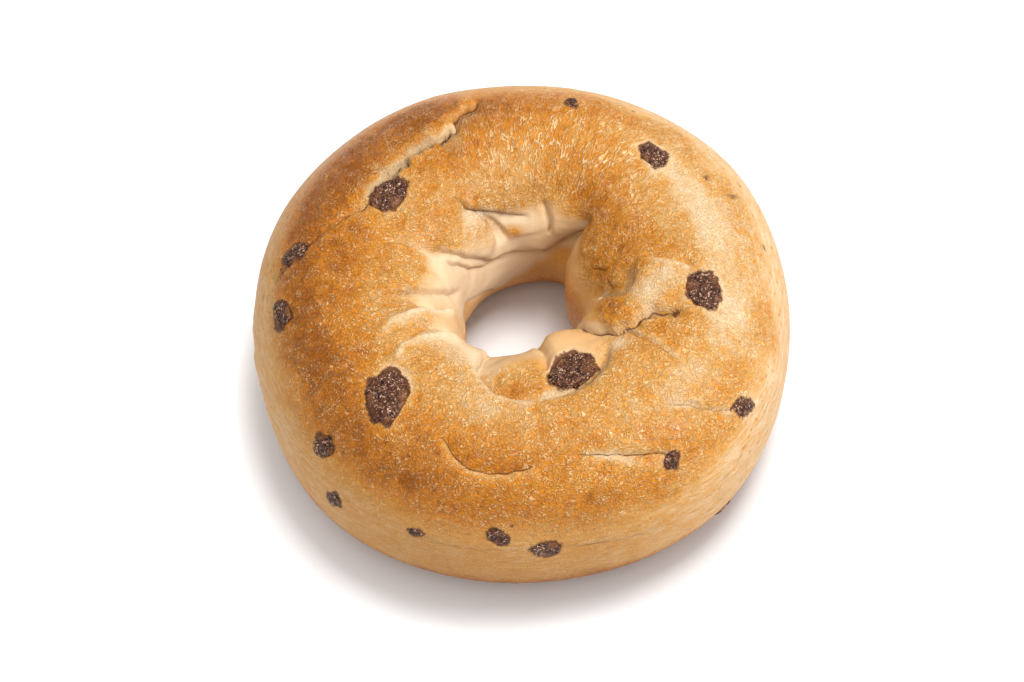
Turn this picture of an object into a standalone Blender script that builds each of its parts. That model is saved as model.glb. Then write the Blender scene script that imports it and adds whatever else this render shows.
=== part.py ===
"""A raisin bagel: a ring of baked dough with a flat base, folded round its hole, with raisins set in its crust.

The ring lies flat. Its shape is worked out from two angles in degrees. The ring angle goes round the hole,
counted from +X towards +Y. The section angle goes round the dough's own section: 0 is the outer side, 90 the
top, 180 the wall of the hole and 270 the underside. The tables of bulges, folds, swells and raisins give their
sizes in millimetres.
"""

import math
from typing import NamedTuple

import bpy
import numpy as np
from mathutils import Matrix, Vector

MM = 0.001

# Driving dimensions of the ring
ACROSS = 110 * MM
HOLE_ACROSS = 26 * MM
HEIGHT = 42 * MM

# The section: a full round, blunter below than above, pressed flat where it lay on the tray
RING_RADIUS = (ACROSS + HOLE_ACROSS) / 4
HALF_WIDTH = (ACROSS - HOLE_ACROSS) / 4
MIDDLE_HEIGHT = 0.48 * HEIGHT
PRESSED_FLAT = 1.2 * MM
CROWN_BLUNTNESS = 2.2
BASE_BLUNTNESS = 2.7
CROWN_TO_BASE = 3
SQUARENESS = 0.75 * MM
HOLE_SHIFT = -1.2 * MM
RELIEF_STARTS = 6 * MM

# Grid of the modelled surface, its rows closest together where the top turns into the hole
ROWS_ROUND_RING = 114
ROWS_ROUND_SECTION = 42
FINEST_AT = 135
ROW_CROWDING = 0.58
SMALL_STEP = 0.05

# How a fold is drawn: the points of its line, the softening of its ends, and how far its sides reach in widths
CURVE_STEPS = 14
FADE_SHARE = 0.25
LEAST_WIDTH = 1.7
LIP_REACH = 2.2
DROP_REACH = 2.8
SIDE_SOFTNESS = 0.8

# The raisins, and the pockets that they lie in
RAISIN_THICKNESS = 0.62
RAISIN_SUNK = 0.56
RAISIN_WRINKLE = 0.07
RAISIN_WRINKLES = 3
RAISIN_SEGMENTS = 10
RAISIN_RINGS = 6
POCKET_GAP = 0.4 * MM
DIMPLE_DEPTH = 0.35 * MM
DIMPLE_REACH = 0.8

CRUST_COLOUR = (0.62, 0.33, 0.12, 1)
CRUST_ROUGHNESS = 0.45
RAISIN_COLOUR = (0.045, 0.02, 0.016, 1)
RAISIN_ROUGHNESS = 0.4


class Bulge(NamedTuple):
    """A place where a wall of the ring stands out or, below zero, in, fading over a spread in degrees."""

    ring: float
    spread: float
    amount: float


class Lump(NamedTuple):
    """Slow unevenness, as a wave with whole turns round the ring and round the section."""

    ring_waves: int
    section_waves: int
    phase: float
    height: float


class Fold(NamedTuple):
    """A crease pressed in the dough. What lies left of its line is swollen, and what lies right of it is sunk."""

    line: tuple
    width: float = 1.0
    depth: float = 0.0
    lip: float = 0.0
    drop: float = 0.0


class Swell(NamedTuple):
    """A rounded lobe of dough. Its length turns from the ring's own direction by an angle in degrees."""

    ring: float
    section: float
    half_length: float
    half_width: float
    turn: float
    height: float


class Raisin(NamedTuple):
    """A raisin. Its length turns from the ring's own direction by an angle in degrees."""

    ring: float
    section: float
    length: float
    width: float
    turn: float = 0.0


SIDE_BULGES = (Bulge(25, 18, -0.6), Bulge(125, 30, -1.0), Bulge(280, 18, -0.7))

HOLE_BULGES = (
    Bulge(30, 20, -1.8),
    Bulge(62, 22, 5.6),
    Bulge(95, 24, 3.2),
    Bulge(140, 26, -1.5),
    Bulge(185, 26, -2.1),
    Bulge(225, 24, 0.6),
    Bulge(262, 24, -1.6),
    Bulge(300, 20, -2.2),
)

LUMPS = (Lump(3, 1, 0.6, 0.35), Lump(5, 2, 2.1, 0.25), Lump(8, 3, 4.0, 0.15))

FOLDS = {
    "split_top": Fold(((116, 88), (111, 79), (105, 70)), depth=1.0, lip=0.5, drop=0.9),
    "split_middle": Fold(((112, 84), (123, 93), (136, 94), (150, 95)), depth=0.9, lip=0.4, drop=1.1),
    "split_low": Fold(((150, 95), (161, 86), (170, 73), (179, 52), (182, 38)), depth=0.9, lip=0.4, drop=0.8),
    "brow": Fold(((126, 120), (118, 131), (106, 135), (86, 141)), depth=0.9, lip=0.5, drop=0.9),
    "left_lobe_edge": Fold(((103, 160), (108, 147), (115, 135), (123, 126)), depth=0.4, lip=0.6, drop=0.8),
    "pad_left": Fold(((100, 140), (98, 149), (97, 160)), depth=0.5, lip=0.4, drop=0.4),
    "pad_right": Fold(((76, 128), (71, 139), (69, 150)), depth=0.9, lip=0.3),
    "undercut": Fold(((74, 182), (67, 168), (61, 153), (54, 140), (46, 124)), 1.5, 1.6, 0.9, 2.2),
    "right_lobe_edge": Fold(((47, 128), (53, 146), (53, 168), (52, 196)), 1.4, 1.0, 1.0, 1.4),
    "wall_upper": Fold(((162, 130), (150, 143), (132, 157), (109, 173), (70, 172)), 1.2, 0.9, 0.6, 0.5),
    "wall_lower": Fold(((160, 136), (150, 147), (132, 163), (108, 176)), depth=0.6, lip=0.3, drop=0.3),
    "left_upper": Fold(((164, 134), (164, 123), (165, 113), (170, 103)), depth=0.6, lip=0.4, drop=0.4),
    "left_middle": Fold(((190, 98), (194, 114), (191, 132), (178, 149), (150, 170)), 1.0, 0.9, 0.5, 0.5),
    "left_lower": Fold(((186, 156), (203, 138), (203, 126), (197, 118)), depth=0.8, lip=0.4, drop=0.5),
    "left_ridge": Fold(((212, 96), (208, 111), (206, 130), (203, 144), (196, 160)), 1.4, -0.9),
    "front_ridge": Fold(((224, 94), (220, 104), (221, 120), (224, 138)), 1.4, -0.8),
    "crescent": Fold(
        ((317, 118), (306, 101), (290, 94), (274, 92), (260, 98), (251, 114), (247, 145), (247, 172)),
        width=1.2,
        depth=0.6,
        lip=0.8,
        drop=2.2,
    ),
    "front_lobes": Fold(((288, 152), (288, 140), (287, 128), (284, 116)), depth=1.2, lip=0.2),
    "right_lobe_upper": Fold(((322, 160), (332, 152), (343, 145), (350, 134)), 1.1, 1.1, 0.2, 0.4),
    "right_lobe_lower": Fold(((341, 100), (332, 109), (323, 116), (319, 130), (318, 150)), 1.2, 1.8, 0.5, 0.6),
    "right_strip": Fold(((316, 116), (322, 111), (326, 100), (323, 88)), depth=0.5, lip=0.2),
    "right_step": Fold(((356, 86), (361, 95), (366, 107), (369, 118)), depth=0.3, lip=0.4, drop=0.4),
    "crown_curl": Fold(((249, 70), (254, 60), (262, 56), (270, 57), (274, 62)), depth=0.5, lip=0.3, drop=0.2),
    "crown_tuck": Fold(((280, 69), (288, 65), (297, 59), (306, 50)), depth=0.5, lip=0.3, drop=0.2),
    "crown_tear": Fold(((315, 67), (319, 57), (325, 46)), depth=0.5, lip=0.2, drop=0.2),
}

SWELLS = {
    "left_lobe": Swell(140, 120, 9, 5, 20, 0.7),
    "pad": Swell(87, 150, 4.5, 3, 0, 0.7),
    "back_lobe": Swell(66, 140, 6, 4, 40, 0.9),
    "right_lobe": Swell(336, 126, 5, 3.6, 20, 1.2),
    "front_right_lobe": Swell(303, 140, 7, 4, 0, 1.8),
    "front_left_lobe": Swell(268, 122, 7, 4, 0, 1.1),
    "left_front_lobe": Swell(233, 116, 9, 7, 0, 0.9),
    "right_shoulder": Swell(18, 125, 9, 6, 0, 0.5),
}

# The raisins of the top and the front, then those of the far side and the lower side
RAISINS = (
    Raisin(147, 97, 9.4, 5.7, -13),
    Raisin(174, 59, 5.6, 4.3, -72),
    Raisin(190, 50, 6.1, 4.6, 0),
    Raisin(229, 76, 10.2, 8.3, -56),
    Raisin(223, 34, 5.3, 4.2, 51),
    Raisin(229, 7, 4.8, 3.0, 69),
    Raisin(248, 16, 2.8, 2.2, 0),
    Raisin(265, 22, 4.8, 3.3, -37),
    Raisin(275, 10, 5.8, 4.4, -26),
    Raisin(294, 113, 10.2, 7.8, 33),
    Raisin(351, 84, 8.8, 6.7, 8),
    Raisin(45, 80, 6.3, 5.0, -11),
    Raisin(76, 69, 3.1, 2.6, 80),
    Raisin(327, 40, 5.2, 3.5, -48),
    Raisin(305, 45, 3.6, 2.6, 48),
    Raisin(118, 22, 6.4, 4.6, 20),
    Raisin(82, 350, 5.6, 4.0, 70),
    Raisin(44, 14, 7.4, 5.2, -15),
    Raisin(155, 344, 5.0, 3.6, 10),
    Raisin(6, 338, 6.0, 4.4, 45),
    Raisin(206, 320, 5.6, 4.0),
    Raisin(318, 330, 4.6, 3.8, 30),
)


def smooth_step(share):
    """Rises gently from 0 to 1."""
    share = np.clip(share, 0, 1)
    return share * share * (3 - 2 * share)


def total_of(bulges, ring):
    """What the bulges of one wall add up to at each ring angle."""
    total = 0
    for bulge in bulges:
        away = (ring - bulge.ring + 180) % 360 - 180
        total = total + bulge.amount * MM * np.exp(-((away / bulge.spread) ** 2))
    return total


def plain_surface(ring, section):
    """Points of the ring before it is folded."""
    turned, tilted = np.radians(ring), np.radians(section)
    out, up = np.cos(tilted), np.sin(tilted)
    crown_share = 0.5 + 0.5 * np.tanh(CROWN_TO_BASE * up)
    bluntness = BASE_BLUNTNESS + (CROWN_BLUNTNESS - BASE_BLUNTNESS) * crown_share
    half_height = np.where(up >= 0, HEIGHT - MIDDLE_HEIGHT, MIDDLE_HEIGHT + PRESSED_FLAT)
    side_width = HALF_WIDTH + total_of(SIDE_BULGES, ring) - SQUARENESS * np.cos(4 * turned)
    half_width = np.where(out >= 0, side_width, HALF_WIDTH - total_of(HOLE_BULGES, ring))
    reach = (np.abs(out / half_width) ** bluntness + np.abs(up / half_height) ** bluntness) ** (-1 / bluntness)
    radius = RING_RADIUS + reach * out
    x = radius * np.cos(turned) + HOLE_SHIFT * (0.5 - 0.5 * out) ** 2
    y = radius * np.sin(turned)
    z = np.maximum(MIDDLE_HEIGHT + reach * up, 0)
    return np.stack([x, y, z], axis=-1)


def outward(ring, section):
    """Unit normals of the plain surface."""
    along_ring = plain_surface(ring + SMALL_STEP, section) - plain_surface(ring - SMALL_STEP, section)
    along_section = plain_surface(ring, section + SMALL_STEP) - plain_surface(ring, section - SMALL_STEP)
    normal = np.cross(along_ring, along_section)
    return normal / np.linalg.norm(normal, axis=-1, keepdims=True)


def axes_at(place):
    """Unit vectors along, across and out of something that lies on the plain surface."""
    ring, section = np.array([float(place.ring)]), np.array([float(place.section)])
    normal = outward(ring, section)[0]
    round_ring = (plain_surface(ring + SMALL_STEP, section) - plain_surface(ring - SMALL_STEP, section))[0]
    round_ring /= np.linalg.norm(round_ring)
    turn = math.radians(place.turn)
    along = round_ring * math.cos(turn) + np.cross(normal, round_ring) * math.sin(turn)
    return along, np.cross(normal, along), normal


def curve_through(knots):
    """Points on the plain surface along a smooth curve through (ring, section) angles."""
    knots = np.array([knots[0], *knots, knots[-1]], float)
    points = []
    for before, start, end, after in zip(knots, knots[1:], knots[2:], knots[3:]):
        slope = 0.5 * (end - before)
        bend = before - 2.5 * start + 2 * end - 0.5 * after
        twist = 0.5 * (after - before) + 1.5 * (start - end)
        for t in np.linspace(0, 1, CURVE_STEPS, endpoint=False):
            points.append(start + slope * t + bend * t**2 + twist * t**3)
    points.append(knots[-1])
    return plain_surface(*np.array(points).T)


def across_curve(points, normals, line):
    """Each point's distance from a line, above zero on its left, and the share of the line that it lies beside."""
    nearest = np.full(len(points), np.inf)
    side, share = np.zeros(len(points)), np.zeros(len(points))
    for i, (start, end) in enumerate(zip(line, line[1:])):
        along = end - start
        t = np.clip((points - start) @ along / (along @ along), 0, 1)
        away = points - start - t[:, None] * along
        distance = np.linalg.norm(away, axis=1)
        closer = distance < nearest
        nearest[closer] = distance[closer]
        side[closer] = np.sign((away[closer] * np.cross(normals[closer], along)).sum(axis=1))
        share[closer] = (i + t[closer]) / (len(line) - 1)
    return nearest * side, share


def fold_relief(fold, points, normals):
    """How far a fold moves each point out of the plain surface."""
    away, share = across_curve(points, normals, curve_through(fold.line))
    away = away / (max(fold.width, LEAST_WIDTH) * MM)
    left = 0.5 + 0.5 * np.tanh(away / SIDE_SOFTNESS)
    beside = np.maximum(away, 0) / LIP_REACH
    groove = -fold.depth * np.exp(-(away**2))
    swollen = fold.lip * beside * np.exp(1 - beside)
    sunk = -fold.drop * np.exp(-((away / DROP_REACH) ** 2))
    ends = smooth_step(share / FADE_SHARE) * smooth_step((1 - share) / FADE_SHARE)
    return ends * (groove + left * swollen + (1 - left) * sunk) * MM


def mound(points, place, half_length, half_width):
    """A smooth mound of height 1 over an oval on the surface."""
    middle = plain_surface(np.array([place.ring]), np.array([place.section]))[0]
    along, across, normal = ((points - middle) @ axis for axis in axes_at(place))
    return np.exp(-((along / half_length) ** 2) - (across / half_width) ** 2 - (normal / half_width) ** 2)


def relief(ring, section):
    """How far each point of the crust stands out of the plain surface."""
    points, normals = plain_surface(ring, section), outward(ring, section)
    height = np.zeros(len(points))
    for lump in LUMPS:
        ring_wave = np.sin(np.radians(lump.ring_waves * ring) + lump.phase)
        height += lump.height * MM * ring_wave * np.cos(np.radians(lump.section_waves * section) + lump.phase)
    for swell in SWELLS.values():
        height += swell.height * MM * mound(points, swell, swell.half_length * MM, swell.half_width * MM)
    for fold in FOLDS.values():
        height += fold_relief(fold, points, normals)
    for raisin in RAISINS:
        reach = DIMPLE_REACH * MM
        height -= DIMPLE_DEPTH * mound(points, raisin, reach * raisin.length, reach * raisin.width)
    return height * smooth_step(points[:, 2] / RELIEF_STARTS)


def crust(ring, section):
    """Points of the finished crust, which stands on z = 0."""
    ring, section = np.asarray(ring, float), np.asarray(section, float)
    points = plain_surface(ring, section) + relief(ring, section)[:, None] * outward(ring, section)
    points[:, 2] = np.maximum(points[:, 2], 0)
    return points


def material(name, colour, roughness):
    """A plain material."""
    made = bpy.data.materials.new(name)
    made.use_nodes = True
    shader = made.node_tree.nodes["Principled BSDF"]
    shader.inputs["Base Color"].default_value = colour
    shader.inputs["Roughness"].default_value = roughness
    shader.inputs["Metallic"].default_value = 0
    return made


def put_in(collection, made, parent, finish=None):
    """Keeps an object in one collection only, and gives it its parent and its material."""
    for holder in list(made.users_collection):
        holder.objects.unlink(made)
    collection.objects.link(made)
    made.parent = parent
    made.data.shade_smooth()
    if finish:
        made.data.materials.append(finish)
    return made


def make_dough(collection, parent, finish):
    """The ring of dough: a torus whose points are moved on to the crust."""
    bpy.ops.mesh.primitive_torus_add(
        major_segments=ROWS_ROUND_RING,
        minor_segments=ROWS_ROUND_SECTION,
        major_radius=RING_RADIUS,
        minor_radius=HALF_WIDTH,
    )
    dough = bpy.context.object
    dough.name = "dough"
    points = np.empty(3 * len(dough.data.vertices), np.float32)
    dough.data.vertices.foreach_get("co", points)
    x, y, z = points.reshape(-1, 3).astype(float).T
    ring = np.degrees(np.arctan2(y, x)) % 360
    even = np.arctan2(z, np.hypot(x, y) - RING_RADIUS)
    section = np.degrees(even - ROW_CROWDING * np.sin(even - math.radians(FINEST_AT)))
    dough.data.vertices.foreach_set("co", crust(ring, section).astype(np.float32).ravel())
    return put_in(collection, dough, parent, finish)


def raisin_place(raisin):
    """Where a raisin lies: its length along its X, its thickness along its Z, and most of it in the dough."""
    along, across, normal = axes_at(raisin)
    surface = crust([raisin.ring], [raisin.section])[0]
    middle = surface - normal * (RAISIN_SUNK * RAISIN_THICKNESS * raisin.width * MM / 2)
    return Matrix.Translation(Vector(middle)) @ Matrix((along, across, normal)).transposed().to_4x4()


def make_raisin(name, raisin, number, gap, collection, parent, finish=None):
    """A wrinkled raisin or, with a gap round it, the pocket that it lies in."""
    bpy.ops.mesh.primitive_uv_sphere_add(segments=RAISIN_SEGMENTS, ring_count=RAISIN_RINGS, radius=1)
    made = bpy.context.object
    made.name = name
    half_size = np.array([raisin.length, raisin.width, RAISIN_THICKNESS * raisin.width]) * MM / 2
    for vertex in made.data.vertices:
        way = np.array(vertex.co.normalized())
        heading = math.atan2(way[1], way[0])
        wrinkle = RAISIN_WRINKLE * math.sin(RAISIN_WRINKLES * heading + number) * (1 - abs(way[2]))
        vertex.co = Vector(way * (half_size * (1 + wrinkle) + gap))
    made.matrix_local = raisin_place(raisin)
    return put_in(collection, made, parent, finish)


def main():
    """Makes the bagel, standing on z = 0 with its middle over the origin."""
    for old in list(bpy.data.objects):
        bpy.data.objects.remove(old)
    bagel = bpy.data.collections.new("bagel")
    pockets = bpy.data.collections.new("raisin_pockets")
    for collection in (bagel, pockets):
        bpy.context.scene.collection.children.link(collection)
    middle = bpy.data.objects.new("bagel_middle", None)
    bagel.objects.link(middle)

    dough = make_dough(bagel, middle, material("baked_crust", CRUST_COLOUR, CRUST_ROUGHNESS))
    raisin_skin = material("raisin_skin", RAISIN_COLOUR, RAISIN_ROUGHNESS)
    for number, raisin in enumerate(RAISINS, start=1):
        make_raisin(f"raisin_{number:02d}", raisin, number, 0, bagel, middle, raisin_skin)
        pocket = make_raisin(f"pocket_{number:02d}", raisin, number, POCKET_GAP, pockets, middle)
        pocket.hide_render = True
        pocket.display_type = "WIRE"

    along_folds = dough.modifiers.new("along_folds", "TRIANGULATE")
    along_folds.quad_method = "SHORTEST_DIAGONAL"
    cut = dough.modifiers.new("raisin_pockets", "BOOLEAN")
    cut.operation = "DIFFERENCE"
    cut.operand_type = "COLLECTION"
    cut.collection = pockets
    cut.solver = "EXACT"

    corners = np.array([vertex.co for vertex in dough.data.vertices])
    low, high = corners.min(axis=0), corners.max(axis=0)
    middle.location = (-(low[0] + high[0]) / 2, -(low[1] + high[1]) / 2, 0)


main()
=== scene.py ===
"""A raisin bagel, dressed in its crust and set in a plain pale studio.

The dough's shape is worked out from two angles in degrees. The ring angle goes round the hole, from +X towards
+Y. The section angle goes round the dough's own section: 0 is the outer side, 90 the top, 180 the wall of the
hole and 270 the underside. Tables of shape are in millimetres, and the scene itself is in metres.
"""

import logging
import math
from dataclasses import dataclass, field
from enum import Enum

import bpy
import numpy as np
from mathutils import Matrix, Vector


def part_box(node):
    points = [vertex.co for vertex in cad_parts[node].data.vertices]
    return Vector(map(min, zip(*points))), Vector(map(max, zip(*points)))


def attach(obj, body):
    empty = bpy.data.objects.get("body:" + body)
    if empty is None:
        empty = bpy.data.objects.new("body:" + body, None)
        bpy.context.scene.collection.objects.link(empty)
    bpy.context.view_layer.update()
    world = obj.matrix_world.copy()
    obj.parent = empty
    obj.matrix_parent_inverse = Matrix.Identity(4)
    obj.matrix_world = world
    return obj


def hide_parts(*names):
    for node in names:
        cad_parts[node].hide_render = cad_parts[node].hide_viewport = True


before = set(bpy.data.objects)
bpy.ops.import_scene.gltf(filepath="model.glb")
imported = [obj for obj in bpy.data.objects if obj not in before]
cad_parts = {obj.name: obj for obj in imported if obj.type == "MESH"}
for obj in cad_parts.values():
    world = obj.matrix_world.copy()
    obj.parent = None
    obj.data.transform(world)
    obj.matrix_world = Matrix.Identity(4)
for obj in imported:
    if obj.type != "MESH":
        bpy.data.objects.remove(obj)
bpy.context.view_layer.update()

MM = 0.001
MM_IN_METRE = 1000
LOG = logging.getLogger("bagel")
PHOTO_WIDTH = 1024


class Slot(Enum):
    """The record's material slots."""

    CRUST = "baked_crust"
    RAISIN = "raisin_skin"


def rise(value: np.ndarray, start: float, length: float) -> np.ndarray:
    """Rise smoothly from 0 to 1.

    Args:
        value: Numbers.
        start: Where the rise starts.
        length: How long it is. Below zero, the rise is towards smaller numbers.

    Returns:
        Shares from 0 to 1.
    """
    share = np.clip((value - start) / length, 0, 1)
    return share * share * (3 - 2 * share)


def bell(distance: np.ndarray, reach: float | np.ndarray) -> np.ndarray:
    """Fall smoothly from 1 towards 0.

    Args:
        distance: How far away each point is, on either side.
        reach: How far away about a third is left.

    Returns:
        Shares from 0 to 1.
    """
    return np.exp(-((distance / reach) ** 2))


def turned_by(angles: np.ndarray, middle: float) -> np.ndarray:
    """Give angles as turns from a middle, between -180 and 180."""
    return (angles - middle + 180) % 360 - 180


@dataclass(frozen=True)
class Bulge:
    """A place where a wall of the ring stands out, or in where it is below zero."""

    ring: float
    spread: float
    amount: float


@dataclass(frozen=True)
class Lump:
    """Slow unevenness, as a wave with whole turns round the ring and round the section."""

    ring_waves: int
    section_waves: int
    phase: float
    height: float


@dataclass(frozen=True)
class Fold:
    """A crease in the dough: what lies left of its line is swollen, and what lies right of it is sunk.

    Its line goes through pairs of a ring angle and a section angle. Its sizes are in millimetres, and the strength
    of the painted shade along its crease line, its paleness, fade, raggedness and torn crumb are shares.
    """

    line: tuple
    width: float = 0.7
    depth: float = 0.0
    lip: float = 0.0
    drop: float = 0.0
    roll: float = 0.0
    # Strength of the painted shade along the crease line, which also sets the painted highlight along its lip
    crease_shade: float = 0.0
    pale_left: float = 0.0
    pale_right: float = 0.0
    pale_reach: float = 1.4
    fade: float = 0.2
    lip_reach: float = 2.2
    drop_reach: float = 3.2
    crisp: float = 0.28
    ragged: float = 0.16
    torn: float = 0.0


@dataclass(frozen=True)
class Swell:
    """A rounded lobe of dough, its length turned from the ring's own direction."""

    ring: float
    section: float
    half_length: float
    half_width: float
    turn: float
    height: float


@dataclass(frozen=True)
class Patch:
    """An oval place, in degrees, that has more of something, or less where its amount is below zero."""

    ring: float
    section: float
    ring_spread: float
    section_spread: float
    amount: float = 1.0

    def at(self, ring: np.ndarray, section: np.ndarray) -> np.ndarray:
        """Work out how much of the patch there is.

        Args:
            ring: Ring angles.
            section: Section angles.

        Returns:
            The amount at each point.
        """
        away = (turned_by(ring, self.ring) / self.ring_spread) ** 2
        away += ((section - self.section) / self.section_spread) ** 2
        return self.amount * np.exp(-away)


@dataclass(frozen=True)
class Seat:
    """Where a raisin lies, its length and width, how its length is turned, how pale its rim is and how dark its edge.

    The dark edge is partly real stain and partly painted shade.
    """

    ring: float
    section: float
    length: float
    width: float
    turn: float = 0.0
    halo: float = 0.5
    stain: float = 0.3


@dataclass(frozen=True)
class Grain:
    """Uneven values in space, made of waves in many directions, with nothing left to chance."""

    wavelength: float
    waves: int = 28
    seed: int = 1
    stretch: tuple = (1.0, 1.0, 1.0)
    shortest: float = 0.7
    longest: float = 1.5

    def at(self, points: np.ndarray) -> np.ndarray:
        """Work out the values.

        Args:
            points: Places in millimetres, one in each row.

        Returns:
            A value for each place, mostly between -1 and 1.
        """
        chance = np.random.default_rng(self.seed)
        ways = chance.normal(size=(self.waves, 3))
        ways /= np.linalg.norm(ways, axis=1, keepdims=True)
        lengths = self.wavelength * chance.uniform(self.shortest, self.longest, self.waves)
        starts = chance.uniform(0, 2 * math.pi, self.waves)
        total = np.zeros(len(points))
        scaled = points / np.array(self.stretch)
        for way, length, start in zip(ways, lengths, starts):
            total += np.sin(2 * math.pi / length * (scaled @ way) + start)
        return total / math.sqrt(self.waves)


SIDE_BULGES = (Bulge(25, 18, -0.6), Bulge(125, 30, -1.0), Bulge(280, 18, -0.7))

HOLE_BULGES = (
    Bulge(30, 20, -1.8),
    Bulge(62, 22, 5.6),
    Bulge(95, 24, 3.2),
    Bulge(140, 26, -1.5),
    Bulge(185, 26, -2.1),
    Bulge(225, 24, 0.6),
    Bulge(262, 24, -1.6),
    Bulge(300, 20, -2.2),
)

LUMPS = (Lump(3, 1, 0.6, 0.35), Lump(5, 2, 2.1, 0.25), Lump(8, 3, 4.0, 0.15))

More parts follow.
